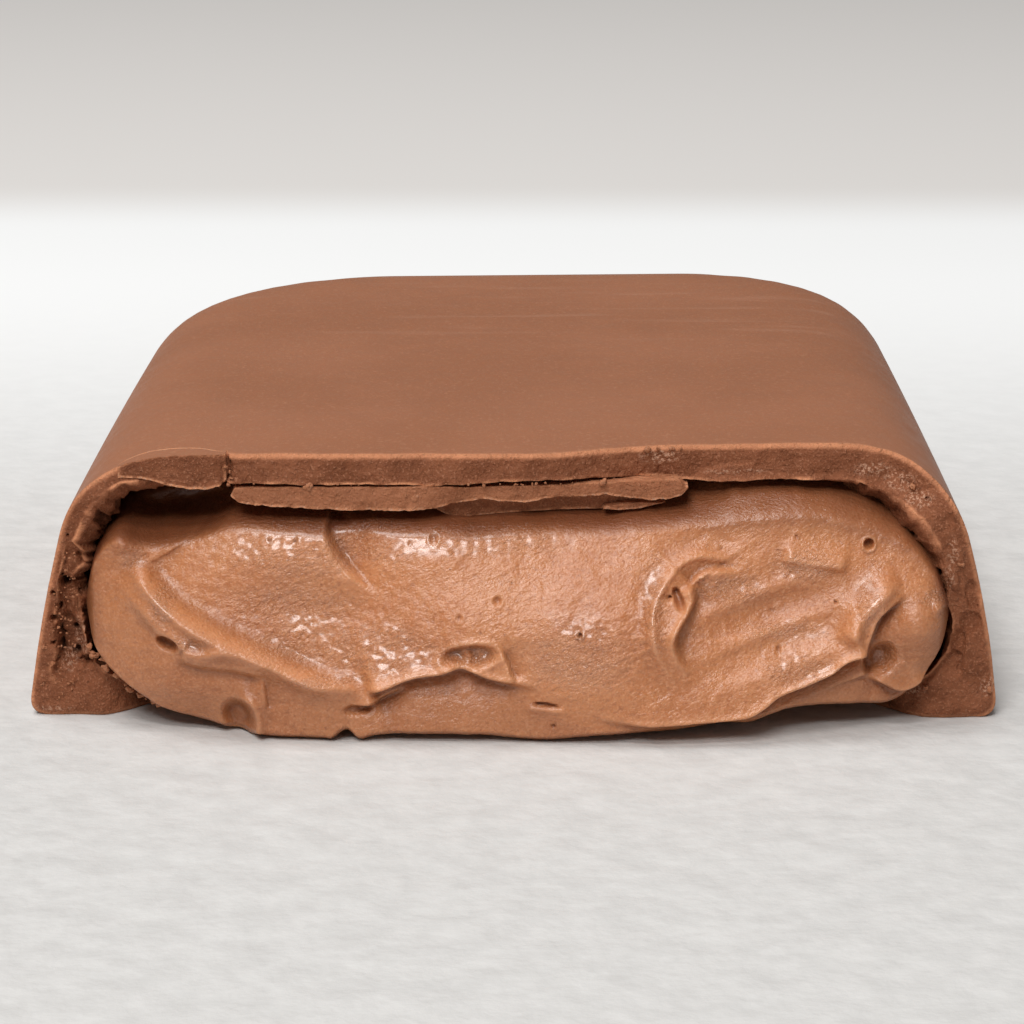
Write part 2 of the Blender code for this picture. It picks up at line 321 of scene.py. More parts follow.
def bar_point(start, way, y, turned, share):
    """A point on the way out to the moulded form: share is how far, less a thickness in mm."""
    lift = math.sin(turned)
    keep = math.cos(turned)
    begin = np.stack([start[:, 0] * math.sqrt(keep), y, start[:, 1]], axis=1)
    out = np.stack([way[:, 0] * keep, np.full(len(way), lift), way[:, 1] * keep], axis=1)
    return begin + out * (reach_out(begin, out) - share)[:, None]


# ---- meshes ----------------------------------------------------------------
JOIN_WITHIN = 0.02 * MM


def grid_faces(rows, columns, closed):
    """Quads over a grid of points, joined round its columns if it is closed."""
    i = np.arange(rows - 1)[:, None] * columns
    j = np.arange(columns if closed else columns - 1)[None, :]
    k = (j + 1) % columns
    corners = np.stack([i + j, i + k, i + columns + k, i + columns + j], axis=-1)
    return corners.reshape(-1, 4).tolist()


def new_object(name, points, faces, material, tints=None):
    """A smooth shaded object from points in mm, with a number per point for each tint."""
    mesh = bpy.data.meshes.new(name)
    mesh.from_pydata((points * MM + ORIGIN).tolist(), [], faces)
    for tint, values in (tints or {}).items():
        layer = mesh.attributes.new(tint, "FLOAT", "POINT")
        layer.data.foreach_set("value", np.asarray(values, np.float32).ravel())
    mesh.materials.append(material)
    mesh.shade_smooth()
    obj = bpy.data.objects.new(name, mesh)
    bpy.context.scene.collection.objects.link(obj)
    return obj


def add_mesh(name, points, faces, material, tints):
    """A piece of the bar, which rides on the one body."""
    obj = new_object(name, points, faces, material, tints)
    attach(obj, "root")
    return obj


def close_ends(obj, count, last):
    """Joins the points where the first and the last ring come together, and faces it all outwards."""
    shape = bmesh.new()
    shape.from_mesh(obj.data)
    shape.verts.ensure_lookup_table()
    rings = itertools.chain(range(count), range(last * count, (last + 1) * count))
    bmesh.ops.remove_doubles(shape, verts=[shape.verts[i] for i in rings], dist=JOIN_WITHIN)
    bmesh.ops.recalc_face_normals(shape, faces=shape.faces)
    shape.to_mesh(obj.data)
    shape.free()


def seal(obj):
    """Closes a sheet whose side edges lie on themselves, and faces it outwards."""
    shape = bmesh.new()
    shape.from_mesh(obj.data)
    verts = [v for v in shape.verts if v.is_boundary]
    bmesh.ops.remove_doubles(shape, verts=verts, dist=JOIN_WITHIN)
    bmesh.ops.holes_fill(shape, edges=[e for e in shape.edges if e.is_boundary], sides=0)
    bmesh.ops.recalc_face_normals(shape, faces=shape.faces)
    shape.to_mesh(obj.data)
    shape.free()


# ---- materials -------------------------------------------------------------
def srgb(*levels):
    """A colour from its 0 to 255 screen levels."""
    shares = [v / 255 for v in levels]
    return tuple(v / 12.92 if v < 0.04 else ((v + 0.055) / 1.055) ** 2.4 for v in shares) + (1.0,)


class Look:
    """A Principled material whose sockets are fed by small chains of nodes."""

    def __init__(self, name, roughness=0.5, specular=0.5, coat=0.0, coat_roughness=0.2):
        self.material = bpy.data.materials.new(name)
        self.material.use_nodes = True
        self.tree = self.material.node_tree
        self.shader = self.tree.nodes["Principled BSDF"]
        self.place = self.tree.nodes.new("ShaderNodeTexCoord").outputs["Object"]
        self.set("Roughness", roughness)
        self.set("Specular IOR Level", specular)
        self.set("Coat Weight", coat)
        self.set("Coat Roughness", coat_roughness)

    def set(self, socket, value):
        self.shader.inputs[socket].default_value = value

    def feed(self, socket, output):
        self.tree.links.new(output, self.shader.inputs[socket])

    def under_skin(self, weight, scale_mm, radius=(1.0, 0.45, 0.25)):
        self.set("Subsurface Weight", weight)
        self.set("Subsurface Scale", scale_mm * MM)
        self.set("Subsurface Radius", radius)

    def node(self, kind, inputs, **settings):
        made = self.tree.nodes.new(kind)
        for key, value in settings.items():
            setattr(made, key, value)
        for key, value in inputs.items():
            if isinstance(value, bpy.types.NodeSocket):
                self.tree.links.new(value, made.inputs[key])
            else:
                made.inputs[key].default_value = value
        return made

    def tint(self, name):
        return self.node("ShaderNodeAttribute", {}, attribute_name=name).outputs["Fac"]

    def drawn_out(self, lengths, turn=0.0):
        """The object's coordinates drawn out along each axis, with x turned up by `turn` degrees."""
        inputs = {"Vector": self.place, "Scale": lengths, "Rotation": (0.0, -math.radians(turn), 0.0)}
        return self.node("ShaderNodeMapping", inputs, vector_type="TEXTURE").outputs["Vector"]

    def grain(self, size_mm, detail=3.0, distort=0.0, rough=0.5, place=None):
        inputs = {
            "Vector": place or self.place, "Scale": 1.0 / (size_mm * MM), "Detail": detail,
            "Distortion": distort, "Roughness": rough,
        }
        return self.node("ShaderNodeTexNoise", inputs).outputs["Fac"]

    def cells(self, size_mm, **settings):
        inputs = {"Vector": self.place, "Scale": 1.0 / (size_mm * MM)}
        return self.node("ShaderNodeTexVoronoi", inputs, **settings).outputs["Distance"]

    def ramp(self, value, low, high, to_low=0.0, to_high=1.0):
        inputs = {"Value": value, "From Min": low, "From Max": high, "To Min": to_low, "To Max": to_high}
        return self.node("ShaderNodeMapRange", inputs, interpolation_type="SMOOTHSTEP").outputs["Result"]

    def math(self, operation, a, b):
        return self.node("ShaderNodeMath", {0: a, 1: b}, operation=operation).outputs["Value"]

    def times(self, a, b):
        return self.math("MULTIPLY", a, b)

    def about_zero(self, height, share):
        """A relief that is level on average, scaled by a share."""
        return self.times(self.math("SUBTRACT", height, 0.5), share)

    def blend(self, factor, a, b):
        """A number between a and b."""
        return self.node("ShaderNodeMix", {0: factor, 2: a, 3: b}).outputs[0]

    def mix(self, factor, a, b):
        """A colour between a and b."""
        made = self.tree.nodes.new("ShaderNodeMix")
        made.data_type = "RGBA"
        for socket, value in ((made.inputs[0], factor), (made.inputs[6], a), (made.inputs[7], b)):
            if isinstance(value, bpy.types.NodeSocket):
                self.tree.links.new(value, socket)
            else:
                socket.default_value = value
        return made.outputs[2]

    def mottled(self, size_mm, detail, one, other):
        """Two close colours in soft patches."""
        return self.mix(self.ramp(self.grain(size_mm, detail), 0.35, 0.65), srgb(*one), srgb(*other))

    def specks(self, base, size_mm, detail, low, high, share, colour):
        """Specks of a colour on the base, where a grain goes from `low` to `high`."""
        where = self.ramp(self.grain(size_mm, detail), low, high, 0.0, share)
        return self.mix(where, base, srgb(*colour))

    def bump(self, layers):
        """Adds fine relief: each layer is (height output, depth in mm)."""
        normal = None
        for height, depth in layers:
            inputs = {"Height": height, "Distance": depth * MM, "Strength": 1.0}
            if normal:
                inputs["Normal"] = normal
            normal = self.node("ShaderNodeBump", inputs).outputs["Normal"]
        self.feed("Normal", normal)


def chocolate_look():
    """The coat: satin where it was moulded, dull and darker where it broke, lighter at broken edges by a
    painted highlight, with painted shade deep inside and painted sheen in streaks on the top.
    """
    look = Look("milk_chocolate", specular=0.22)
    broken = look.tint("broken")
    skin = look.mottled(9.0, 3, (150, 97, 68), (156, 102, 73))
    skin = look.specks(skin, 0.17, 2, 0.55, 0.72, 0.4, (178, 124, 95))
    # painted sheen: pale streaks across the moulded top
    sheen_streaks = look.grain(0.9, 3, 0.3, place=look.drawn_out((9.0, 1.0, 1.0)))
    sheen_streaks = look.times(look.ramp(sheen_streaks, 0.55, 0.7), look.tint("painted_sheen"))
    skin = look.mix(look.times(sheen_streaks, 0.22), skin, srgb(180, 134, 110))
    skin = look.mix(look.times(look.tint("far"), 0.3), skin, srgb(136, 100, 84))

    inner = look.mottled(1.3, 5, (129, 75, 47), (147, 89, 59))
    inner = look.specks(inner, 0.09, 2, 0.54, 0.7, 0.55, (188, 128, 96))
    inner = look.specks(inner, 0.22, 3, 0.45, 0.3, 0.3, (104, 56, 34))
    # painted shade: near-black brown deep in the break, in its holes and pits, and inside the coat
    inner = look.mix(look.tint("painted_depth_shade"), inner, srgb(62, 31, 18))
    # painted highlight: the rim tint turns the broken chocolate pale along its edges
    inner = look.mix(look.tint("rim"), inner, srgb(212, 142, 102))
    # pale flecks: rubbed crumbs on the coat, and on the broken pieces a painted highlight along their edges
    flecks = look.ramp(look.grain(0.13, 4, rough=0.7), 0.49, 0.6, 0.0, 0.8)
    inner = look.mix(look.times(flecks, look.tint("pale_fleck_and_highlight")), inner, srgb(208, 160, 132))
    look.feed("Base Color", look.mix(broken, skin, inner))
    satin = look.ramp(look.grain(1.1, 4), 0.3, 0.7, 0.44, 0.56)
    dull = look.ramp(look.grain(0.5, 3), 0.3, 0.7, 0.5, 0.72)
    look.feed("Roughness", look.blend(broken, satin, dull))
    look.under_skin(0.06, 1.0)
    # level on average, so that no step shows where the break meets the moulded skin
    fine = look.about_zero(look.grain(0.18, 4, rough=0.65), broken)
    coarse = look.about_zero(look.grain(0.6, 4), broken)
    look.bump([(look.grain(0.9, 3), 0.012), (look.grain(0.12, 2), 0.02), (fine, 0.16), (coarse, 0.2)])
    return look.material


def filling_look():
    """The filling: a moist cream with wrinkled, uneven gloss."""
    look = Look("cream_filling", specular=0.6, coat_roughness=0.19)
    wet = look.tint("wet")
    base = look.mottled(3.2, 3, (180, 111, 66), (190, 122, 76))
    base = look.specks(base, 0.4, 4, 0.35, 0.75, 0.3, (206, 141, 99))
    base = look.specks(base, 0.11, 3, 0.45, 0.68, 0.45, (214, 152, 112))
    base = look.specks(base, 0.16, 3, 0.46, 0.3, 0.4, (150, 88, 54))
    # painted highlight along the crests of the folds
    base = look.mix(look.times(look.tint("painted_crest_highlight"), 0.5), base, srgb(214, 150, 108))
    # painted shade in the hollows, below the crests, beside the walls and where the face rolls back under the
    # coat
    base = look.mix(look.tint("painted_shade"), base, srgb(108, 58, 35))
    # painted shade: dark dots for small pores that the mesh doesn't have
    pores = look.ramp(look.cells(0.55), 0.05, 0.11, 0.5, 0.0)
    pores = look.times(pores, look.ramp(look.grain(1.5, 2), 0.48, 0.6))
    look.feed("Base Color", look.mix(pores, base, srgb(120, 62, 36)))
    soft = look.ramp(look.grain(1.6, 3), 0.35, 0.65, 0.4, 0.28)
    glossy = look.ramp(look.grain(0.5, 3), 0.35, 0.65, 0.3, 0.18)
    look.feed("Roughness", look.blend(wet, soft, glossy))
    look.feed("Coat Weight", look.times(wet, 0.9))
    look.under_skin(0.12, 1.2, (1.0, 0.5, 0.28))
    wrinkles = look.grain(0.13, 3, 0.3, 0.6, look.drawn_out((1.8, 1.0, 1.0), 32.0))
    wrinkles = look.about_zero(wrinkles, look.math("ADD", look.times(wet, 0.7), 0.3))
    look.bump([(look.grain(0.7, 3), 0.06), (wrinkles, 0.15), (look.grain(0.09, 2), 0.02)])
    return look.material


def paper_look(near, far):
    """The pale mottled floor, made paler with distance by painted light, then as dark as a backdrop.
    Distances are in mm.
    """
    look = Look("pale_floor", roughness=0.85, specular=0.2)
    mottle = look.ramp(look.grain(1.5, 5, rough=0.6), 0.3, 0.7)
    floor = look.mix(mottle, srgb(202, 200, 197), srgb(211, 209, 206))
    depth = look.node("ShaderNodeSeparateXYZ", {"Vector": look.place}).outputs["Y"]
    near, far = in_scene(0, near, 0).y, in_scene(0, far, 0).y
    # painted light: the floor grows paler with distance
    floor = look.mix(look.ramp(depth, near, 0.7 * far), floor, srgb(251, 251, 250))
    floor = look.mix(look.ramp(depth, far - 16.0 * MM, far + 3.0 * MM), floor, srgb(229, 225, 221))
    look.feed("Base Color", floor)
    near_only = look.ramp(depth, near, 0.5 * far, 1.0, 0.0)
    look.bump([(look.times(look.grain(2.2, 5), near_only), 0.25)])
    return look.material


# ---- the broken face of the coat -------------------------------------------
# the inner edge of the break, clockwise from the upper left, as (x, z)
INNER_EDGE = (
    (-16.1, 8.75), (-15.5, 9.35), (-15.0, 9.7), (-14.2, 9.84), (-13.3, 9.8), (-11.5, 9.8),
    (-8.2, 9.68), (-4.3, 9.72), (-3.3, 9.62), (-0.5, 9.8), (1.3, 9.86), (4.9, 9.78),
    (6.8, 9.55), (8.4, 9.46), (10.3, 9.56), (12.9, 9.5), (14.3, 9.15), (15.3, 8.55),
    (16.0, 7.6), (16.4, 6.9), (16.5, 5.8), (16.6, 4.8), (16.7, 2.8), (16.1, 1.8),
    (15.2, 1.25), (13.5, 1.05), (0.0, 1.0), (-13.4, 1.05), (-15.0, 1.35), (-16.2, 2.2),
    (-16.55, 3.0), (-16.5, 4.2), (-16.7, 5.0), (-16.95, 5.8), (-16.45, 6.3), (-16.4, 6.8),
    (-16.75, 7.2), (-16.35, 8.1),
)
TOP_LEFT_Y, TOP_RIGHT_Y = -0.6, 0.75
TOP_STEP = (0.5, 6.0)
FLOOR_STEP_BACK = 2.6
CHIP_SPLIT_X = -10.87
# small holes in the break: (x, z, radius, depth)
PITS = (
    (-17.15, 5.55, 0.24, 0.8), (-17.62, 5.1, 0.12, 0.4), (-17.65, 4.05, 0.17, 0.6),
    (-17.45, 4.55, 0.12, 0.4), (-17.75, 3.0, 0.1, 0.4), (-17.7, 2.3, 0.1, 0.35),
    (-16.9, 3.5, 0.14, 0.4), (-16.95, 2.5, 0.2, 0.4), (-16.6, 2.05, 0.14, 0.3),
    (15.9, 8.9, 0.12, 0.2), (17.3, 8.0, 0.1, 0.3), (-17.0, 7.5, 0.07, 0.2),
)
# shallow chips out of the break: (middle, radii, depth, turn)
SCOOPS = (
    ((17.5, 5.1), (0.35, 0.75), 0.22, 10),
    ((17.5, 4.0), (0.5, 0.5), 0.2, 0),
    ((-17.15, 3.1), (0.6, 1.35), 0.5, 4),
    ((-17.0, 4.9), (0.35, 0.9), 0.25, 0),
    ((15.3, 9.25), (0.5, 0.25), 0.1, -35),
    ((16.9, 6.9), (0.25, 0.7), -0.12, 12),
    ((16.75, 5.8), (0.22, 0.65), -0.12, 14),
)
# steps on the break, the left side of each line higher: (line, height, width of the step, fade)
BREAK_STEPS = (
    (((17.35, 3.8), (17.3, 2.8), (17.35, 1.6)), 0.3, 0.1, 0.8),
    (((16.85, 2.9), (17.2, 2.6), (16.6, 2.2), (15.6, 0.8)), 0.28, 0.12, 0.9),
    (((16.7, 8.2), (17.1, 7.9), (17.5, 7.8)), -0.2, 0.1, 0.5),
    (((7.3, 9.6), (7.6, 9.95), (8.3, 10.15), (9.6, 10.2)), -0.14, 0.08, 0.7),
    (((-17.0, 6.6), (-17.3, 6.0), (-17.6, 5.3)), 0.22, 0.15, 0.6),
)
# where the coat is thicker just behind the break: (middle, radius, thickness, depth behind the break)
THICK_SPOTS = (
    ((-15.9, 8.2), 1.5, 1.0, 1.3), ((-13.9, 9.4), 1.6, 0.8, 1.5), ((-16.8, 5.6), 1.3, 0.35, 0.6),
    ((13.6, 9.0), 1.5, 0.7, 1.5), ((15.4, 8.0), 1.4, 0.9, 1.4), ((16.3, 6.4), 1.3, 0.45, 1.2),
)
# patches of pale rubbed crumbs: (middle, radii)
SCUFFS = (
    ((5.7, 10.55), (0.9, 0.3)), ((14.9, 9.5), (0.6, 0.4)), ((15.6, 8.9), (0.6, 0.35)),
    ((16.7, 6.9), (0.2, 0.7)),
    ((16.6, 5.8), (0.2, 0.6)), ((-17.2, 2.2), (0.3, 0.5)), ((-16.7, 3.2), (0.3, 0.9)),
    ((18.5, 1.3), (0.4, 0.5)),
    ((15.6, 1.1), (0.5, 0.3)), ((-18.3, 0.3), (1.2, 0.12)), ((8.6, 9.85), (1.3, 0.12)),
    ((13.9, 9.9), (0.8, 0.3)),
)


def face_y(x, z):
    """Where the coat ends: leaning forward to the upper left, stepped back at the right and the floor."""
    lean = TOP_LEFT_Y * smooth(1.5, 9.5, z)
    step = (TOP_RIGHT_Y - TOP_LEFT_Y) * smooth(*TOP_STEP, x) * smooth(7.8, 9.8, z)
    step = step * smooth(18.0, 14.5, x)
    floor = FLOOR_STEP_BACK * smooth(FLOOR + 1.2, FLOOR, z) * smooth(16.4, 12.8, np.abs(x))
    return lean + step + floor


def recess(x, z, share):
    """Where the lower left of the break is torn away: (how deep in it, how near its ragged edge)."""
    place = np.stack([x, np.zeros(x.shape), z], axis=-1)
    edge = 0.42 + 0.2 * noise(place * (0.3, 1.0, 1.0), 0.9, 7, 4, 0.6)
    here = smooth(-15.8, -16.5, x) * window(1.0, 1.9, 6.2, 7.4, z)
    return here * smooth(edge - 0.04, edge + 0.05, share), here * bump_at(share, edge - 0.03, 0.045)


def break_relief(x, z, share):
    """How far the break is sunk at each place. share is 0 at its outer edge and 1 at its inner."""
    place = np.stack([x, np.zeros(x.shape), z], axis=-1)
    low = 0.12 * noise(place, 1.7, 1, 3) + 0.05 * noise(place, 0.5, 2, 3)
    rough_left, ragged_rim = recess(x, z, share)
    rough_right = smooth(12.0, 14.5, x) * smooth(7.0, 8.0, z)
    holes = smooth(0.05, 0.45, noise(place, 0.55, 3, 3, 0.6))
    low = low + rough_left * (0.5 + 0.5 * holes - 0.25 * ridged(place, 0.4, 4))
    low = low - 0.08 * ragged_rim + 0.08 * rough_right * noise(place, 0.4, 6, 3)
    for px, pz, radius, depth in PITS:
        low = low + depth * smooth(1.0, 0.5, np.hypot(x - px, z - pz) / radius)
    for middle, radii, depth, turn in SCOOPS:
        low = low - bowl(x, z, middle, radii, depth, turn, flat=0.55)
    for line, *shape in BREAK_STEPS:
        low = low - ledge(x, z, line, *shape)
    # the split at the chip's right end
    low = low + 0.4 * bump_at(x, CHIP_SPLIT_X + 0.1 * np.sin(5 * z), 0.06) * smooth(9.3, 9.7, z)
    # the outer edge is rounded, and a thin burr stands along the inner one
    low = low + 0.14 * smooth(0.16, 0.0, share) ** 2
    burr = smooth(0.84, 1.0, share) * (0.5 + 0.9 * noise(place, 0.35, 5, 3))
    return low - 0.12 * np.maximum(burr, 0.0)


def scuffed(x, z):
    """Where pale crumbs have been rubbed onto the break."""
    return patches(x, z, SCUFFS, 1.2, 0.5)


# ---- the coat --------------------------------------------------------------
RING_PACE = (0.074, 0.4)  # mm between the points of a ring, where it shows and under the base
TOP_FROM, FLOOR_TO = 9.0, 1.0  # a ring's top wall starts at this height, and its floor ends at this one
# where its rings lie, as shares of the way: back from the break inside, across it, and back outside
INSIDE_BACKS = (
    1.0, 0.7, 0.45, 0.3, 0.22, 0.17, 0.135, 0.11, 0.09, 0.074, 0.06, 0.048, 0.037, 0.027, 0.018, 0.011, 0.005,
)
BREAK_SHARES = np.concatenate([[1.0, 0.985, 0.965], np.linspace(0.94, 0.08, 23), [0.05, 0.025, 0.0]])
OUTSIDE_BACKS = np.concatenate([[0.001, 0.0025, 0.005, 0.009, 0.014], np.linspace(0.05, 1.0, 17) ** 1.3])
INSIDE_TURNS = np.radians([90, 72, 54, 36, 18])  # and round the moulded end
OUTSIDE_TURNS = np.radians(np.linspace(3.5, 90, 26))


class Coat:
    """The coat as rings of points: from its far end inside, over the break, to its far end outside."""

    def __init__(self):
        level = ring_of_face(*RING_PACE)
        self.start, self.way = spokes(level)
        self.count = len(level)
        self.fan = np.full(self.count, FAN_Y)
        self.outer = bar_point(self.start, self.way, np.zeros(self.count), 0.0, 0.0)[:, [0, 2]]
        reach = self.inner_reach(turn_of(level))
        self.inner = self.start + self.way * reach[:, None]
        self.thick = np.linalg.norm(self.outer - self.start, axis=1) - reach
        z = self.outer[:, 1]
        self.even = np.where(z > TOP_FROM, TOP_WALL, np.where(z < FLOOR_TO, FLOOR, SIDE_WALL))
        self.rows = []
        self.tints = {name: [] for name in ("broken", "rim", "painted_depth_shade", "pale_fleck_and_highlight", "painted_sheen", "far")}

    def inner_reach(self, at):
        """How far the ragged inner edge of the break is from the spine, all the way round."""
        edge = np.array(INNER_EDGE)
        edge_start, _ = spokes(edge)
        edge_at = turn_of(edge)
        edge_far = np.linalg.norm(edge - edge_start, axis=1)
        by = np.argsort(edge_at)
        reach = np.interp(at, edge_at[by], edge_far[by], period=TURN_PERIOD)
        x, z = self.outer.T
        ragged = noise(np.stack([x, at * 0, z], axis=1), 0.5, 8, 3)
        torn = 0.05 + 0.13 * smooth(-15.0, -16.0, x) + 0.05 * smooth(13.0, 15.0, x)
        return reach + torn * ragged * smooth(1.2, 2.2, z)

    def add(self, points, broken, rim, painted_depth_shade, pale_fleck_and_highlight=0.0):
        """Adds a ring, sunk where the thin top has sagged, with its tints."""
        x, y, z = points.T
        depth = y - face_y(x, z)
        z = z - SAG * smooth(SAG_BACK, 0.0, depth) * smooth(8.5, 10.5, z) * smooth(17.0, 3.0, x)
        self.rows.append(np.stack([x, y, z], axis=1))
        tints = {
            "broken": broken,
            "rim": rim,
            "painted_depth_shade": painted_depth_shade,
            "pale_fleck_and_highlight": pale_fleck_and_highlight,
            # painted sheen in bands across the top, 16 to 34 mm behind the break
            "painted_sheen": window(16, 24, 28, 34, y) * smooth(8, 10.5, z),
            "far": smooth(BAR_LENGTH - 6.0, BAR_LENGTH - 0.5, y),
        }
        for name, value in tints.items():
            self.tints[name].append(np.broadcast_to(value, self.count))

    def add_inside(self):
        """The inner surface, from its far end to the break."""
        for turned in INSIDE_TURNS:
            wall = self.even + (END_WALL - SIDE_WALL) * math.sin(turned)
            # the far inside gets a fixed share of painted shade
            self.add(settle(bar_point(self.start, self.way, self.fan, turned, wall)), 1.0, 0.0, 0.3)
        x, z = self.inner.T
        first = face_y(x, z) + break_relief(x, z, np.ones(self.count))
        for back in INSIDE_BACKS:
            depth = back * (FAN_Y - first)
            blend = smooth(0.0, 6.0, depth)
            wall = self.thick * (1 - blend) + self.even * blend
            p = bar_point(self.start, self.way, first + depth, 0.0, wall)
            rough = 0.22 * noise(p * (1.0, 0.7, 1.0), 0.9, 11, 4, 0.6) * smooth(0.0, 0.6, depth)
            lumps = 0.3 * noise(p, 0.8, 13, 3, 0.6)
            near_spot = np.zeros(self.count)
            for middle, radius, extra, behind in THICK_SPOTS:
                spot = bump_at(np.hypot(x - middle[0], z - middle[1]), 0.0, radius)
                spot = spot * bump_at(depth, behind, 0.8 * behind)
                near_spot = np.maximum(near_spot, spot)
                rough = rough + spot * (extra + lumps)
            holes = smooth(0.1, 0.4, noise(p, 0.6, 12, 3)) * near_spot
            p[:, [0, 2]] -= self.way * (rough - 0.6 * holes)[:, None]
            # painted shade, growing with the depth behind the break and in the holes, less on the thick spots
            painted_depth_shade = np.maximum(0.05 + 0.2 * smooth(0.5, 4.0, depth) - 0.3 * near_spot, 0.8 * holes)
            self.add(settle(p), 1.0, 0.0, painted_depth_shade)

    def add_break(self):
        """The break, from its inner edge to its outer. Gives how far it is sunk at the outer edge."""
        across = np.linalg.norm(self.outer - self.inner, axis=1)
        for share in BREAK_SHARES:
            x, z = (self.outer * (1 - share) + self.inner * share).T
            shares = np.full(self.count, share)
            low = break_relief(x, z, shares)
            mottle = 0.5 + 0.5 * noise(np.stack([x, z * 0, z], axis=1), 0.7, 21, 3)
            # painted highlight along the break's outer and inner edges and along the recess's ragged edge
            rim = smooth(0.26, 0.06, across * share) * (0.5 + 0.5 * mottle)
            rim = np.maximum(rim, smooth(0.14, 0.03, across * (1 - share)) * smooth(0.4, 0.65, mottle))
            in_recess, ragged_rim = recess(x, z, shares)
            rim = np.maximum(rim, 0.8 * ragged_rim * smooth(0.35, 0.6, mottle))
            # painted shade where the break is sunk deepest, sooner in the recess
            painted_depth_shade = 0.85 * smooth(0.35 + 0.3 * in_recess, 0.95 + 0.3 * in_recess, low)
            points = np.stack([x, face_y(x, z) + low, z], axis=1)
            self.add(settle(points), 1.0, rim, painted_depth_shade, scuffed(x, z))
        return low

    def add_outside(self, low):
        """The moulded surface, from the break to its far end."""
        first = face_y(*self.outer.T) + low
        for back in OUTSIDE_BACKS:
            p = bar_point(self.start, self.way, first + back * (FAN_Y - first), 0.0, 0.0)
            depth = p[:, 1] - first
            p[:, 2] -= 0.02 * smooth(0.25, 0.0, depth) * (p[:, 2] > 5)
            pale_fleck_and_highlight = scuffed(p[:, 0], p[:, 2]) * smooth(0.5, 0.1, depth)
            # the moulded skin just behind the break takes the break's colour with its painted edge highlight
            self.add(settle(p), 0.75 * smooth(0.2, 0.0, depth), 0.85, 0.0, pale_fleck_and_highlight)
        for turned in OUTSIDE_TURNS:
            self.add(settle(bar_point(self.start, self.way, self.fan, turned, 0.0)), 0.0, 0.0, 0.0)


def make_shell(material):
    coat = Coat()
    coat.add_inside()
    low = coat.add_break()
    coat.add_outside(low)
    faces = grid_faces(len(coat.rows), coat.count, True)
    tints = {name: np.concatenate(values) for name, values in coat.tints.items()}
    obj = add_mesh("coat", np.vstack(coat.rows), faces, material, tints)
    close_ends(obj, coat.count, len(coat.rows) - 1)
    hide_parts("shell")


# ---- the filling -----------------------------------------------------------
FILL_SPAN = 16.3
FILL_GAP = 0.3  # how much thicker than the coat's walls is kept free round it, out of sight
FILL_COLUMNS, FACE_ROWS, UNDER_ROWS, BACK_ROWS = 552, 124, 9, 10
FILL_BOTTOM = (
    (-16.5, 5.0), (-16.45, 4.2), (-16.2, 3.2), (-15.7, 2.4), (-14.9, 1.7), (-14.2, 1.2), (-13.6, 0.8),
    (-12.1, 0.4), (-10.7, 0.14), (-9.6, 0.08), (-7.3, 0.05), (-6.95, 0.02), (-6.6, 0.3), (-6.3, 0.42),
    (-5.95, 0.1), (-5.7, 0.06), (-5.3, 0.2), (-4.3, 0.28), (-1.2, 0.25), (0.2, 0.12), (1.5, 0.08), (3.4, 0.3),
    (6.3, 0.4), (8.1, 0.6), (9.1, 0.62), (10.0, 0.9), (10.9, 1.08), (13.4, 1.0), (14.6, 0.95), (15.4, 1.35),
    (15.95, 2.2), (16.4, 3.2), (16.65, 4.2), (16.7, 4.8),
)
FILL_TOP = (
    (-16.5, 5.2), (-16.5, 6.2), (-16.2, 7.3), (-15.4, 8.2), (-14.3, 8.7), (-12.5, 9.0), (-10.4, 9.1),
    (-7.0, 9.1), (-1.0, 9.1), (4.0, 9.15), (6.8, 9.35), (8.0, 9.45), (11.0, 9.4), (12.9, 9.2), (13.9, 8.85),
    (15.0, 8.05), (15.9, 7.0), (16.45, 5.9), (16.65, 5.2), (16.7, 5.0),
)
# where its face starts to roll back under the coat, from the left side over the top to the right side
FILL_ROLL = (
    (-16.5, 4.6), (-16.2, 5.9), (-15.9, 6.7), (-15.25, 7.35), (-14.5, 7.15), (-13.4, 7.05), (-12.0, 7.45),
    (-10.7, 7.8), (-9.4, 7.8), (-7.0, 7.75), (2.0, 7.75), (5.0, 7.9), (7.5, 8.15), (10.0, 8.3), (11.6, 8.3),
    (13.4, 7.95), (15.0, 7.3), (16.1, 6.0), (16.55, 4.9),
)
# the crests along which it hangs over: below them it is in half shade
FILL_CRESTS = (
    (-16.5, 7.4), (-14.2, 6.2), (-13.0, 5.1), (-11.0, 4.0), (-8.1, 2.7), (-5.5, 2.0), (-3.7, 2.6),
    (-1.8, 2.9),
    (0.2, 2.3), (1.6, 1.4), (3.0, 0.6), (7.1, 0.6), (8.9, 0.8), (10.7, 1.9), (12.3, 2.6), (13.6, 3.2),
    (14.3, 5.3), (16.6, 6.2),
)
# where the torn cream shines most: (middle, radii)
WET_PATCHES = (
    ((-8.3, 7.1), (2.9, 1.1)), ((-8.5, 5.0), (2.6, 1.0)), ((-6.8, 3.6), (3.2, 0.7)),
    ((-5.0, 7.4), (1.6, 0.8)),
    ((-2.0, 7.5), (4.4, 0.5)), ((-4.6, 3.6), (2.0, 1.1)), ((2.4, 3.6), (2.1, 1.5)), ((5.4, 5.4), (0.5, 1.8)),
    ((8.4, 5.7), (1.4, 0.6)), ((11.2, 6.6), (1.3, 0.7)), ((10.4, 4.2), (1.6, 0.4)), ((11.0, 2.8), (1.6, 0.7)),
    ((13.7, 5.3), (0.6, 0.9)), ((16.0, 5.3), (0.5, 0.3)), ((14.4, 3.0), (0.5, 0.7)),
    ((-14.6, 6.7), (0.5, 0.6)),
    ((-13.4, 5.1), (0.5, 0.8)), ((-12.2, 3.9), (0.8, 0.3)), ((-1.6, 3.5), (1.2, 0.5)),
    ((-7.0, 2.5), (1.8, 0.2)),
)
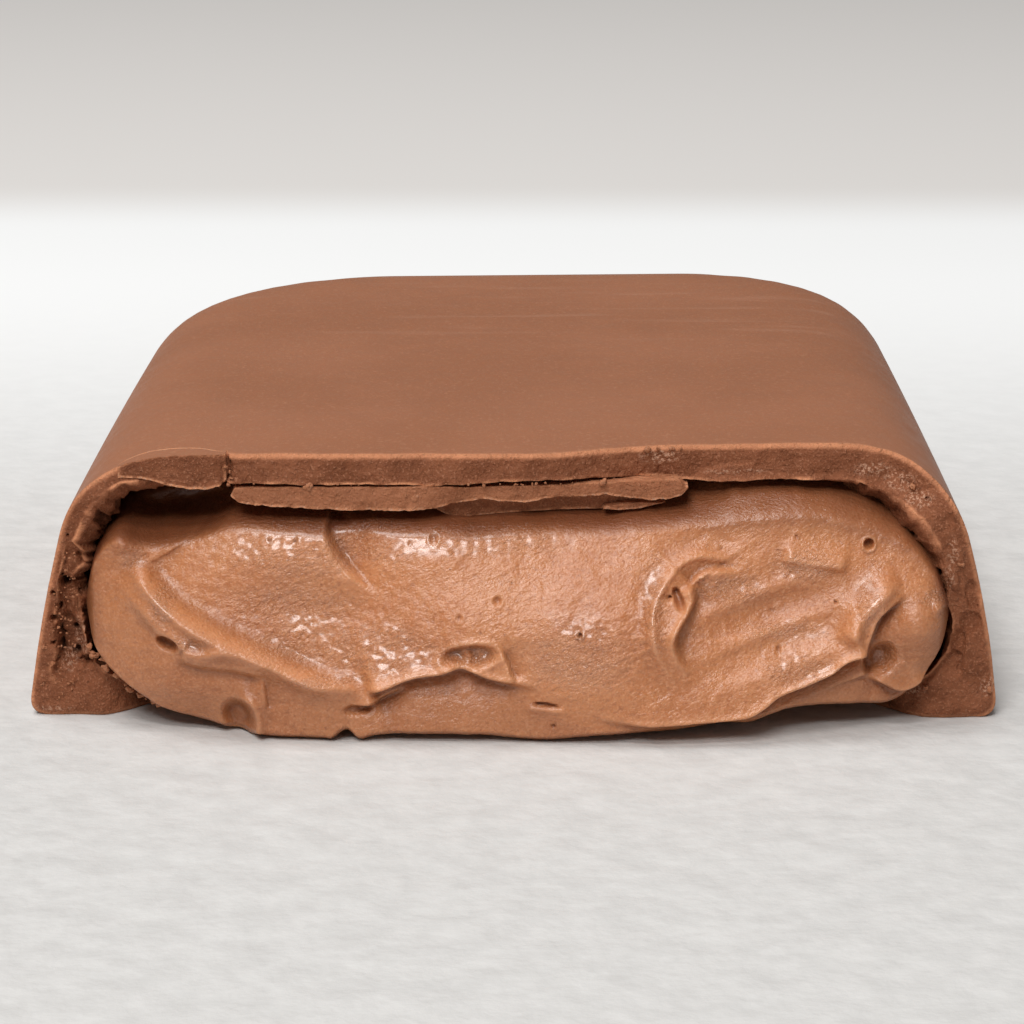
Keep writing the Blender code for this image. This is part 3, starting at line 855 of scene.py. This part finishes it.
# the folds and dents of the torn cream, each line as (x, z)
LONG_FOLD = (
    (-14.4, 6.6), (-14.2, 6.2), (-13.7, 5.7), (-13.0, 5.1), (-12.2, 4.6), (-11.0, 4.0), (-9.3, 3.3),
    (-8.1, 2.75), (-7.2, 2.45), (-6.2, 2.3), (-5.4, 2.05),
)
SHOULDER_FOLD = ((-15.3, 6.1), (-14.6, 5.4), (-14.0, 4.8), (-13.5, 4.3), (-13.0, 4.05), (-12.45, 3.6))
CREST = (
    (-5.6, 1.95), (-4.7, 2.25), (-3.7, 2.6), (-2.7, 2.75), (-1.9, 3.0), (-0.9, 2.6), (0.3, 2.35), (1.6, 2.0),
)
NOTCH = ((-6.95, 8.35), (-7.1, 7.9), (-6.9, 7.3), (-6.5, 6.7), (-5.9, 6.15), (-5.1, 5.5))
SWIRL = (
    (8.9, 6.5), (8.1, 6.85), (7.2, 7.0), (6.4, 6.75), (5.8, 6.1), (5.4, 5.4), (5.3, 4.7), (5.45, 3.8),
    (6.0, 2.8), (6.9, 2.1),
)
INNER_SWIRL = ((8.9, 6.35), (7.9, 6.5), (7.2, 6.35), (6.75, 5.95))
HOOK = ((6.75, 6.05), (6.95, 5.6), (6.75, 5.1), (6.4, 4.6), (6.2, 4.0), (6.5, 3.2), (7.2, 2.5))
LOWER_CREST = (
    (2.6, 1.25), (3.9, 0.95), (5.3, 0.75), (7.1, 0.85), (8.9, 1.0), (9.6, 1.3), (10.2, 1.75), (10.9, 2.05),
    (11.6, 2.3), (12.3, 2.6), (12.9, 3.05), (13.75, 3.3),
)
RIGHT_RIDGE = ((14.9, 6.05), (14.4, 5.75), (13.9, 5.3), (13.4, 4.8), (13.1, 4.2), (12.9, 3.6))
LOBE = ((15.2, 5.5), (14.6, 5.1), (14.1, 4.6), (13.85, 4.0), (13.7, 3.45), (13.55, 2.8), (13.7, 2.3))
# raised lines: (line, height, fall on its left, fall on its right, fade at its ends)
FOLDS = (
    (LONG_FOLD, 0.42, 0.3, 0.5, (0.15, 0.25)),
    (SHOULDER_FOLD, 0.26, 0.35, 0.3, (0.4, 0.05)),
    (((-12.6, 3.6), (-11.9, 3.45), (-11.1, 3.55), (-10.3, 3.3)), 0.26, 0.2, 0.35, (0.05, 0.5)),
    (CREST, 0.16, 0.25, 0.12, (0.1, 0.4)),
    # round the scooped notch at the lower left
    (((-9.75, 0.15), (-9.7, 0.9), (-10.0, 1.6), (-10.6, 1.8)), 0.24, 0.16, 0.22, (0.1, 0.3)),
    # under the slit below the oval dent
    (((0.5, 1.5), (1.2, 1.42), (2.2, 1.4)), 0.08, 0.12, 0.16),
    (SWIRL, 0.24, 0.16, 0.35, (0.25, 0.3)),
    (HOOK, 0.2, 0.22, 0.22, (0.05, 0.4)),
    # above the wide scoop on the right, and along the crest below it
    (((10.2, 6.9), (11.0, 6.75), (12.2, 6.6), (13.0, 6.45)), 0.2, 0.5, 0.22),
    (LOWER_CREST[6:], 0.2, 0.25, 0.1, (0.3, 0.05)),
    (RIGHT_RIDGE, 0.42, 0.35, 0.5, (0.25, 0.2)),
    (((15.9, 4.9), (16.4, 5.0), (16.8, 4.95)), 0.2, 0.25, 0.25),
)
# steps, their left side standing out: (line, height, width of the step, fade beyond it, fade at its ends)
LEDGES = (
    (LONG_FOLD, -0.55, 0.5, 1.6, (0.2, 0.3)),
    (((-13.0, 3.2), (-12.0, 2.9), (-10.6, 2.75), (-9.3, 2.5)), 0.28, 0.4, 0.8),
    # where the long fold meets the next crest, over a darker underside
    (CREST, 0.75, 0.35, 1.1, (0.08, 0.35)),
    (((-6.2, 1.35), (-5.4, 1.5), (-4.8, 1.8), (-3.9, 2.2)), 0.4, 0.25, 0.5, (0.3, 0.3)),
    # the crease above the scooped notch
    (((-9.35, 1.2), (-9.4, 1.8), (-9.5, 2.6)), 0.22, 0.15, 0.6, (0.3, 0.3)),
    # the crack beside the oval dent
    (((0.2, 2.5), (-0.05, 2.95), (-0.15, 3.3), (-0.5, 3.95)), 0.34, 0.1, 0.4, (0.15, 0.3)),
    # lit to its left, in shade to its right
    (NOTCH, -0.62, 0.3, 1.0, (0.05, 0.35)),
    (SWIRL, 0.2, 0.5, 0.8, (0.2, 0.3)),
    (INNER_SWIRL, 0.42, 0.25, 0.7, (0.4, 0.1)),
    (HOOK, -0.62, 0.3, 0.9, (0.05, 0.45)),
    # over the underside at the right
    (LOWER_CREST, 0.75, 0.3, 1.0, (0.3, 0.04)),
    (LOBE, -0.65, 0.25, 0.8, (0.3, 0.05)),
    (((13.6, 2.3), (14.3, 1.9), (14.9, 1.55), (15.6, 1.7), (16.2, 2.3)), 0.55, 0.25, 0.6),
)
# soft swellings, or hollows below zero: (middle, radii, height)
MOUNDS = (
    ((-7.5, 4.8), (3.8, 1.5), -0.7),  # the scoop above the long fold
    ((-13.2, 2.9), (2.2, 1.8), 0.35),  # the rounded lump to its lower left
    ((-2.35, 3.55), (0.3, 0.25), -0.16),  # the oval dent's deeper end
    ((-9.0, 7.0), (2.4, 1.0), 0.1),
    ((-2.6, 7.2), (3.0, 0.9), 0.2),
    ((-6.2, 7.2), (0.8, 0.9), -0.3),
    ((3.4, 3.1), (3.0, 1.9), 0.5),  # the swollen middle
    ((9.8, 4.7), (2.9, 1.7), -0.8),  # the wide scoop on the right
    ((15.6, 4.2), (1.2, 1.5), 0.75),  # the lobe at the right
)
# dents: (middle, radii, depth, turn, height of the rim, share of the radii where it is flat)
DENTS = (
    ((-13.2, 3.75), (0.55, 0.33), 0.4, -18, 0.0, 0.4),
    ((-5.9, 1.3), (0.7, 0.26), 0.2, 5, 0.0, 0.4),
    ((-10.55, 0.75), (0.75, 1.05), 0.55, 12, 0.0, 0.3),  # the scooped notch
    ((-1.6, 3.48), (1.15, 0.5), 0.3, 8, 0.06, 0.45),  # the oval dent
    ((1.3, 1.6), (0.6, 0.11), 0.24, -4, 0.0, 0.4),  # the slit below it
    ((6.35, 5.55), (0.22, 0.5), 0.4, 24, 0.05, 0.3),
    ((6.0, 5.62), (0.09, 0.09), 0.35, 0, 0.0, 0.4),
    ((10.2, 3.5), (0.12, 0.2), 0.12, 0, 0.0, 0.3),
    ((14.2, 2.9), (0.6, 0.85), 0.4, -20, 0.0, 0.2),
)
# bubbles and pores: (x, z, radius, depth)
BUBBLES = (
    (-3.0, 7.62, 0.2, 0.14), (13.7, 7.25, 0.24, 0.3), (-0.55, 5.5, 0.2, 0.12), (2.6, 4.35, 0.11, 0.25),
    (0.0, 6.1, 0.06, 0.1), (-3.9, 7.45, 0.1, 0.08), (5.0, 7.9, 0.06, 0.12), (1.6, 0.75, 0.12, 0.12),
    (10.9, 7.6, 0.09, 0.1), (8.0, 7.15, 0.07, 0.1), (-8.3, 7.5, 0.1, 0.1), (-9.3, 7.5, 0.09, 0.1),
    (-1.2, 4.4, 0.07, 0.1), (-2.0, 4.9, 0.15, 0.08), (12.4, 5.2, 0.1, 0.12),
)
# where the cream was stretched and wrinkles most: (middle, radii)
STRETCHED = (((-8.5, 6.6), (3.0, 1.6)), ((-6.0, 3.8), (3.5, 1.3)), ((4.2, 3.9), (2.2, 1.6)))
WRINKLE_WAY = ((0.8, 0, 0.6), (0, 1, 0), (-0.9, 0, 1.6))  # turns and draws the wrinkles out along a slant


def nominal_swell(x, z):
    """How far the filling stands out of the face before its folds."""
    away = np.abs(x)
    across = np.maximum(1 - np.abs(x / FILL_SPAN) ** 4, 0)
    near_base = smooth(2.2, 0.0, z)
    low = 1.0 - 0.1 * near_base * smooth(12.0, 10.0, away) - 0.25 * near_base * smooth(10.0, 12.0, away)
    foot = 0.55 * smooth(3.0, 0.0, z) * smooth(12.5, 9.0, away)
    return (0.6 + 2.3 * across) * low * (1 - 0.75 * smooth(4.0, 8.6, z)) + foot


def filling_relief(x, z):
    """The folds, dents and bubbles of the torn cream, as how far each stands out, in mm."""
    place = np.stack([x, np.zeros(x.shape), z], axis=-1)
    out = 0.16 * noise(place * (1, 1, 1.3), 4.5, 31, 2) + 0.05 * noise(place, 1.3, 32, 3)
    for line, *shape in FOLDS:
        out += fold(x, z, line, *shape)
    for line, *shape in LEDGES:
        out += ledge(x, z, line, *shape)
    for middle, radii, height in MOUNDS:
        out += height * mound(x, z, middle, radii)
    for middle, radii, depth, *shape in DENTS:
        out += bowl(x, z, middle, radii, depth, *shape)
    for bx, bz, radius, depth in BUBBLES:
        out += bowl(x, z, (bx, bz), (radius, radius), depth, rim=0.35 * depth, flat=0.2)
    # ripples in the oval dent
    ripples = np.sin(11.0 * x + 4.0 * z)
    out += 0.06 * ripples * smooth(0.9, 0.3, np.hypot((x + 1.6) / 1.0, (z - 3.45) / 0.4))
    # soft bands that climb to the right across the wide scoop
    across = z - 0.34 * (x - 9.5)
    bands = 0.2 * bump_at(across, 5.6, 0.38) + 0.18 * bump_at(across, 4.1, 0.35)
    bands = bands + 0.34 * bump_at(across, 2.5, 0.5)
    out += mound(x, z, (9.8, 4.6), (2.9, 2.2)) * bands
    # fine wrinkles
    stretched = 0.35 + sum(mound(x, z, middle, radii) for middle, radii in STRETCHED)
    grain = ridged(place @ np.array(WRINKLE_WAY), 0.42, 41, 3)
    out += 0.06 * np.minimum(stretched, 1.0) * (grain - 0.7) * smooth(8.3, 7.0, z)
    return 1.25 * out + 0.02 * noise(place, 0.25, 42, 2)


def filling_tints(x, z, relief, roll, side):
    """Where the torn cream is light along its crests by a painted highlight, dark in its hollows by painted
    shade, and wet.
    """
    level = soften(relief, 60)
    sunk = np.clip((level - relief) * 5.0, 0.0, 1.0)
    below = smooth(0.1, -0.3, z - height_of(FILL_CRESTS, x))
    right = smooth(6.5, 9.0, x)
    tucked = smooth(roll - 0.25 - 0.7 * right, roll + 0.25 + 0.4 * right, z)
    beside_wall = smooth(1.0, 0.1, side) * smooth(1.5, 3.0, z)
    # painted shade: in the hollows, below the overhanging crests, beside the walls, and where the face tucks
    # under the coat
    painted_shade = 0.35 * sunk + 0.2 * below + 0.4 * beside_wall + (0.85 - 0.1 * right) * tucked
    return {
        "painted_crest_highlight": np.clip((relief - level) * 6.0, 0.0, 1.0),
        "painted_shade": np.clip(painted_shade, 0.0, 1.0),
        "wet": patches(x, z, WET_PATCHES, 1.3, 0.4),
    }


def body_rows(edge_row):
    """Rows of points from an edge of the torn face back to the moulded end."""
    xz = edge_row[:, [0, 2]]
    start, way = spokes(xz)
    far = np.linalg.norm(xz - start, axis=1)
    wall = np.where(xz[:, 1] > SPINE_Z, TOP_WALL, FLOOR)
    wall = np.where(np.abs(xz[:, 0]) > SPINE_X + 2, SIDE_WALL, wall) + FILL_GAP
    rows = []
    for share in np.linspace(0.0, 1.0, BACK_ROWS)[1:] ** 1.6:
        y = edge_row[:, 1] + share * (FAN_Y - edge_row[:, 1])
        full = bar_point(start, way, y, 0.0, wall)
        room = np.linalg.norm(full[:, [0, 2]] - start, axis=1)
        blend = smooth(0.0, 0.25, share)
        x, z = (start + way * (far * (1 - blend) + room * blend)[:, None]).T
        rows.append(np.stack([x, y, z], axis=1))
    for turned in INSIDE_TURNS[::-1]:
        rows.append(bar_point(start, way, np.full(len(xz), FAN_Y), turned, wall + END_WALL - SIDE_WALL))
    return rows


def make_filling(material):
    # columns stand closer together at both ends, where the outline turns
    u = np.linspace(-1.0, 1.0, FILL_COLUMNS)
    x_mid, x_half = 0.5 * (FILL_TOP[0][0] + FILL_TOP[-1][0]), 0.5 * (FILL_TOP[-1][0] - FILL_TOP[0][0])
    x = x_mid + x_half * (0.72 * u + 0.28 * np.sin(0.5 * np.pi * u))
    z_low = height_of(rounded_line(FILL_BOTTOM, 5), x)
    z_high = height_of(rounded_line(FILL_TOP, 5), x)
    s = np.linspace(0.0, 1.0, FACE_ROWS)[:, None]
    s = 0.88 * s + 0.12 * s**2
    zz = z_low + (z_high - z_low) * s
    xx = np.broadcast_to(x, zz.shape)

    # the torn face, rounded off all along its outline
    relief = filling_relief(xx, zz)
    side = np.minimum(xx - x[0], x[-1] - xx)
    swell = nominal_swell(xx, zz) + relief
    swell = swell - 0.35 * smooth(0.3, 0.0, zz - z_low) ** 2
    swell = swell - 1.0 * smooth(0.6, 0.0, z_high - zz) ** 2
    swell = swell - 1.0 * smooth(0.6, 0.0, side) ** 2
    # its upper edge rolls back under the coat, with two lumps in the hollow below the chip
    wavy = noise(np.stack([xx, zz * 0, zz * 0], axis=-1), 1.5, 45)
    roll = height_of(rounded_line(FILL_ROLL, 5), xx) + 0.12 * wavy
    lumps = mound(xx, zz, (-14.9, 7.5), (0.7, 0.6)) + 0.7 * mound(xx, zz, (-13.3, 7.6), (0.5, 0.4))
    depth = 2.5 + 1.0 * smooth(-10.0, -12.5, xx) - 0.8 * smooth(6.5, 9.0, xx)
    swell = swell - depth * smooth(roll - 0.15, roll + 0.95, zz) ** 1.25 + 0.7 * lumps
    face = np.stack([xx, -swell, zz], axis=-1)

    # the underside, from the floor of the coat to the face's lower edge
    lift = np.linspace(0.0, 1.0, UNDER_ROWS, endpoint=False)[:, None]
    rear_y = np.where(np.abs(x) < 12.0, 1.9, 0.6)
    rear_z = np.maximum(z_low + 0.1, FLOOR + 0.25)
    under = np.stack([
        np.broadcast_to(x, (UNDER_ROWS, FILL_COLUMNS)),
        rear_y + (face[0, :, 1] - rear_y) * lift**0.8,
        rear_z + (z_low - rear_z) * lift**0.5,
    ], axis=-1)

    # the body, back from both edges of the face to the moulded end
    above = body_rows(face[-1])
    below = body_rows(under[0])[::-1]
    block = np.concatenate([np.array(below), under, face, np.array(above)])
    first = len(below) + UNDER_ROWS
    on_face = filling_tints(xx, zz, relief, roll, side)
    tints = {}
    # the hidden body gets a fixed share of painted shade
    for name, elsewhere in (("painted_crest_highlight", 0.0), ("painted_shade", 0.25), ("wet", 0.0)):
        tints[name] = np.full(block.shape[:2], elsewhere)
        tints[name][first:first + FACE_ROWS] = on_face[name]
    faces = grid_faces(len(block), FILL_COLUMNS, False)
    obj = add_mesh("cream", settle(block.reshape(-1, 3)), faces, material, tints)
    seal(obj)
    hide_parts("filling")


# ---- the chip, the strip, the layer and the flake ---------------------------
def outer_z(x):
    """The height of the moulded top at the face, where it has sagged."""
    return np.interp(HALF_WIDTH - np.abs(x), SHOULDER[:, 0], SHOULDER[:, 1]) - SAG


def make_bar_of(name, material, xs, section, seed, ragged, pace=0.045, skin_from=None, pale=0.0):
    """A long broken piece. section(x) gives its (y, z) corners: lower front, upper front, upper back, lower
    back. skin_from is the corner after which its surface is moulded, not broken."""
    middle_loop = np.array(section(xs[len(xs) // 2]))
    middle_loop = np.vstack([middle_loop, middle_loop[:1]])
    counts = np.maximum((np.linalg.norm(np.diff(middle_loop, axis=0), axis=1) / pace).astype(int), 3)
    rows = []
    for x in xs:
        corners = np.array(section(x))
        after = np.roll(corners, -1, axis=0)
        ring = [a + (b - a) * t for a, b, n in zip(corners, after, counts) for t in np.arange(n) / n]
        rows.append(np.column_stack([np.full(len(ring), x), ring]))
    points = np.array(rows)
    around = points.shape[1]
    edge = np.repeat(np.arange(len(counts)), counts)
    out = points - points.mean(axis=1, keepdims=True)
    out /= np.maximum(np.linalg.norm(out, axis=-1, keepdims=True), 1e-6)
    torn = np.exp(-((points[..., 2] - points[:, :1, 2]) / 0.12) ** 2)
    wobble = 0.03 * noise(points, 0.7, seed, 3) + ragged * torn * noise(points, 0.3, seed + 1, 3, 0.7)
    points = points + out * wobble[..., None]

    # painted highlight: pale along its lower edge, its upper edge and both ends
    mottle = 0.5 + 0.5 * noise(points, 0.3, seed + 2, 3)
    low = points[..., 2] - points[:, :1, 2]
    high = points[:, counts[0]][:, None, 2] - points[..., 2]
    length = xs[-1] - xs[0]
    along = np.linspace(0.0, 1.0, len(xs))[:, None] * length
    end = np.minimum(along, length - along)
    rim = smooth(0.13, 0.04, low) * smooth(0.25, 0.5, mottle)
    rim = rim + 0.6 * smooth(0.1, 0.02, high) * smooth(0.3, 0.6, mottle)
    rim = np.clip(rim + 0.7 * smooth(0.16, 0.04, end) * smooth(0.3, 0.6, mottle), 0.0, 1.0)
    moulded = np.zeros(rim.shape)
    if skin_from is not None:
        # its back edge shows as a pale hairline of painted highlight
        last_of_skin = np.flatnonzero(edge == skin_from)[-2:]
        moulded[:, edge == skin_from] = 1.0
        moulded[:, last_of_skin] = 0.0
        rim[:, last_of_skin] = 1.0
        rim[:, edge == skin_from + 1] = 1.0
    # pale spreads the painted highlight over the whole piece
    rim = np.maximum(rim, pale)
    # pale flecks where the painted edge highlight is strong: more painted highlight
    pale_fleck_and_highlight = 0.9 * smooth(0.5, 0.9, rim)
    tints = {"broken": 1.0 - moulded, "rim": rim, "painted_depth_shade": np.zeros(rim.shape), "pale_fleck_and_highlight": pale_fleck_and_highlight}
    last = (len(xs) - 1) * around
    caps = [range(around), range(last, last + around)[::-1]]
    faces = grid_faces(len(xs), around, True) + [list(cap) for cap in caps]
    obj = add_mesh(name, points.reshape(-1, 3), faces, material, tints)
    seal(obj)
    obj.data.set_sharp_from_angle(angle=math.radians(38))
    return obj


CHIP_X = (-15.1, -10.95)
CHIP_LOWER = (
    (-15.1, 9.83), (-14.7, 9.84), (-14.3, 9.83), (-13.8, 9.76), (-13.3, 9.62), (-12.4, 9.44), (-11.6, 9.46),
    (-11.2, 9.55), (-10.95, 9.78),
)


def narrowing(x, ends, first, last):
    """1 along a piece, narrowing to 0 over `first` and `last` mm at its ends."""
    return float(window(ends[0] - 0.02, ends[0] + first, ends[1] - last, ends[1] + 0.02, x))


def chip_section(x):
    """The chip keeps a crescent of the moulded skin along its top."""
    front = TOP_LEFT_Y - 0.22 + 0.05 * math.sin(1.7 * x) + 0.15 * (1 - narrowing(x, CHIP_X, 1.3, 0.3))
    low, top = float(height_of(CHIP_LOWER, x)), float(outer_z(x))
    high = max(top + 0.06, low + 0.05)
    back = front + 0.3 + 0.75 * math.sin(math.pi * (x - CHIP_X[0]) / (CHIP_X[1] - CHIP_X[0])) ** 0.8
    back_z = top + 0.075 + 0.02 * (back - front)
    rear = [(back, back_z), (back + 0.03, back_z - 0.2), (back + 1.2, low + 0.25)]
    return [(front + 0.05, low), (front, high)] + rear


STRIP_X = (-10.8, 6.75)
STRIP_TOP = (
    (-10.8, 9.2), (-10.62, 9.46), (-6.8, 9.48), (-4.2, 9.5), (-3.4, 9.53), (-1.6, 9.46),
    (1.7, 9.52), (3.4, 9.58),
    (5.5, 9.64), (6.3, 9.65), (6.75, 9.42),
)
STRIP_LOW = (
    (-10.8, 9.1), (-10.5, 8.86), (-9.3, 8.72), (-6.8, 8.6), (-4.3, 8.56), (-3.0, 8.62),
    (-2.4, 8.74), (-1.1, 9.0),
    (-0.4, 8.86), (0.5, 8.82), (1.2, 8.98), (1.9, 9.06), (2.8, 9.04), (3.6, 9.12), (4.2, 9.0), (5.2, 8.86),
    (6.1, 8.9), (6.5, 9.05), (6.75, 9.3),
)
STRIP_FRONT = -0.68


def strip_section(x):
    """Left of its slanted break the strip stands further forward than right of it."""
    high, low = float(height_of(STRIP_TOP, x)), float(height_of(STRIP_LOW, x))
    end = narrowing(x, STRIP_X, 0.15, 0.3)
    high = low + (high - low) * (0.5 + 0.5 * end)
    set_back = 0.25 * float(smooth(1.0, 6.0, x))
    top_front = STRIP_FRONT + 0.26 * float(smooth(-2.4, -1.2, x)) + set_back + 0.12 * (1 - end)
    low_front = STRIP_FRONT + 0.3 * float(smooth(-3.6, -2.4, x)) + set_back + 0.12 * (1 - end)
    rear = [(top_front + 2.6, high + 0.1), (low_front + 2.4, low + 0.3)]
    return [(low_front + 0.04, low), (top_front, high)] + rear


FLAKE_X = (3.5, 5.9)


def flake_section(x):
    """A sliver below the strip."""
    t = (x - FLAKE_X[0]) / (FLAKE_X[1] - FLAKE_X[0])
    half = 0.11 * float(window(0.0, 0.3, 0.5, 1.02, t)) + 0.012
    middle, front = 8.5 + 0.12 * t, -0.12 + 0.5 * t
    rear = [(front + 1.4, middle + half + 0.2), (front + 1.4, middle - half)]
    return [(front + 0.05, middle - half), (front, middle + half)] + rear


LAYER_X = (-3.6, 6.2)


def layer_section(x):
    """The thin smooth layer of the coat that clings to the strip's underside."""
    t = (x - LAYER_X[0]) / (LAYER_X[1] - LAYER_X[0])
    low = 8.02 + 0.12 * math.sin(math.pi * t) ** 2 + 0.4 * t
    high = float(height_of(STRIP_LOW, x)) + 0.05
    low = high - (high - low) * float(window(0.0, 0.15, 0.7, 1.0, t)) - 0.02
    front = -0.12 + 0.4 * t
    return [(front + 0.3, low), (front, high), (front + 1.8, high), (front + 2.0, low + 0.1)]


def make_broken_pieces(material):
    chip = make_bar_of("chip", material, np.linspace(*CHIP_X, 110), chip_section,
                       seed=61, ragged=0.07, pace=0.05, skin_from=1)
    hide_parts("edge_chip")
    strip = make_bar_of("strip", material, np.linspace(*STRIP_X, 380), strip_section,
                        seed=71, ragged=0.1, pale=0.34)
    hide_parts("inner_slab")
    make_bar_of("flake", material, np.linspace(*FLAKE_X, 60), flake_section,
                seed=81, ragged=0.04, pale=0.2)
    make_bar_of("layer", material, np.linspace(*LAYER_X, 120), layer_section,
                seed=91, ragged=0.02, pale=0.12)


# ---- crumbs ----------------------------------------------------------------
# (x, y, z, size across): the crumbs that can be told apart
CRUMBS = (
    (-7.8, -0.6, 9.5, 0.3), (-3.75, -0.55, 9.2, 0.5), (3.5, -0.35, 9.65, 0.32), (-18.1, -0.05, 2.85, 0.22),
    (-10.95, -0.75, 10.3, 0.16), (-10.8, -0.7, 10.1, 0.14), (-10.75, -0.7, 9.85, 0.15),
    (-10.85, -0.7, 9.6, 0.12),
    (5.2, 0.6, 10.66, 0.24), (5.6, 0.66, 10.7, 0.2), (6.1, 0.7, 10.7, 0.24), (6.5, 0.72, 10.7, 0.18),
    (16.05, -0.05, 1.3, 0.26), (15.4, 0.42, 9.28, 0.4), (17.0, -0.42, 6.45, 0.3), (18.5, -0.02, 1.2, 0.22),
)


# crumbs carry part of the painted edge highlight and of the pale flecks
CRUMB_TINTS = {"broken": 1.0, "rim": 0.45, "painted_depth_shade": 0.0, "pale_fleck_and_highlight": 0.3, "painted_sheen": 0.0, "far": 0.0}


def crumb_places(dice):
    """(x, y, z, size) for every crumb: the larger ones, then fine dust along the edges."""
    places = list(CRUMBS)
    for _ in range(46):  # along the gap above the strip
        x = dice.uniform(-10.5, 6.5)
        z = 9.62 + dice.normal(0, 0.03)
        places.append((x, float(face_y(x, 9.7)) - 0.03, z, dice.uniform(0.05, 0.11)))
    for _ in range(26):  # down the recess at the lower left
        t = dice.uniform(0, 1)
        x, z = -16.45 + 2.6 * t + dice.normal(0, 0.12), 2.75 - 1.9 * t + dice.normal(0, 0.12)
        places.append((x, -0.2 - 0.8 * t, z, dice.uniform(0.08, 0.3)))
    for _ in range(90):  # over the left side of the break
        z = dice.uniform(0.5, 6.8)
        x = dice.uniform(-HALF_WIDTH + 0.3 + 0.223 * z, -16.7)
        places.append((x, float(face_y(x, z)) - 0.01, z, dice.uniform(0.04, 0.1)))
    return places


def make_crumbs(material):
    """Every crumb in one mesh of lumpy balls."""
    dice = np.random.default_rng(7)
    points, faces, count = [], [], 0
    for x, y, z, size in crumb_places(dice):
        ball = bmesh.new()
        bmesh.ops.create_icosphere(ball, subdivisions=3 if size > 0.2 else 2, radius=0.5 * size)
        ball.verts.index_update()
        pull = dice.uniform(0.6, 1.3, 3)
        seed = int(dice.integers(1000))
        p = np.array([v.co for v in ball.verts]) * pull
        p = p * (1 + 1.1 * noise(p + seed, 0.55 * size, seed, 3, 0.7))[:, None] + (x, y, z)
        points.append(settle(p))
        faces += [[count + v.index for v in face.verts] for face in ball.faces]
        count += len(p)
        ball.free()
    tints = {name: np.full(count, level) for name, level in CRUMB_TINTS.items()}
    add_mesh("crumbs", np.vstack(points), faces, material, tints)


# ---- stage -----------------------------------------------------------------
# where the floor's backdrop tone and its painted light begin
BACKDROP_FROM = 119.0  # the floor turns to the backdrop's tone this far behind the break
PALER_FROM = 10.0  # and starts to turn paler here
FLOOR_LEVEL = -0.01  # just clear of the base
FLOOR_SIDES = ((-1200.0, -900.0), (1200.0, -900.0), (1200.0, 1500.0), (-1200.0, 1500.0))
WORLD_STRENGTH = 0.19
# (name, place, what it points at, size, watts)
LAMPS = (
    ("key", (-130.0, 0.0, 540.0), (0.0, 30.0, 4.0), (300.0, 260.0), 1.5),
    ("front", (-90.0, -370.0, 340.0), (0.0, 0.0, 4.0), (190.0, 80.0), 0.92),
    ("high", (-100.0, -270.0, 440.0), (0.0, 0.0, 4.0), (190.0, 80.0), 0.92),
)
CAMERA_AT = (0.933, -122.53, 42.385)
CAMERA_DOWN, CAMERA_LEFT = 15.526, 0.445  # degrees below level, and turned left of straight ahead
LENS_MM, SENSOR_MM = 116.0, 36.0


def make_stage():
    """A pale level floor that takes a plain backdrop's tone in the distance."""
    points = np.array([(x, y, FLOOR_LEVEL) for x, y in FLOOR_SIDES])
    floor = new_object("floor", points, [(0, 1, 2, 3)], paper_look(PALER_FROM, BACKDROP_FROM))


def area_light(name, at, target, size, watts):
    """A white lamp. Its places and size are in mm."""
    data = bpy.data.lights.new(name, "AREA")
    data.shape = "RECTANGLE"
    data.size, data.size_y = size[0] * MM, size[1] * MM
    data.energy = watts
    obj = bpy.data.objects.new(name, data)
    bpy.context.scene.collection.objects.link(obj)
    obj.location = in_scene(*at)
    obj.rotation_euler = (in_scene(*target) - obj.location).to_track_quat("-Z", "Y").to_euler()


def make_light():
    world = bpy.data.worlds.new("studio")
    bpy.context.scene.world = world
    world.use_nodes = True
    background = world.node_tree.nodes["Background"]
    background.inputs["Color"].default_value = (1.0, 1.0, 1.0, 1.0)
    background.inputs["Strength"].default_value = WORLD_STRENGTH
    for lamp in LAMPS:
        area_light(*lamp)


def make_camera():
    data = bpy.data.cameras.new("camera")
    data.lens, data.sensor_width = LENS_MM, SENSOR_MM
    data.clip_start = 0.01
    camera = bpy.data.objects.new("camera", data)
    bpy.context.scene.collection.objects.link(camera)
    camera.location = in_scene(*CAMERA_AT)
    camera.rotation_euler = (math.radians(90 - CAMERA_DOWN), 0.0, math.radians(CAMERA_LEFT))
    bpy.context.scene.camera = camera
    bpy.context.scene.view_settings.view_transform = "Standard"


def main():
    make_camera()
    make_stage()
    make_light()
    chocolate = chocolate_look()
    make_shell(chocolate)
    make_filling(filling_look())
    make_broken_pieces(chocolate)
    make_crumbs(chocolate)


main()
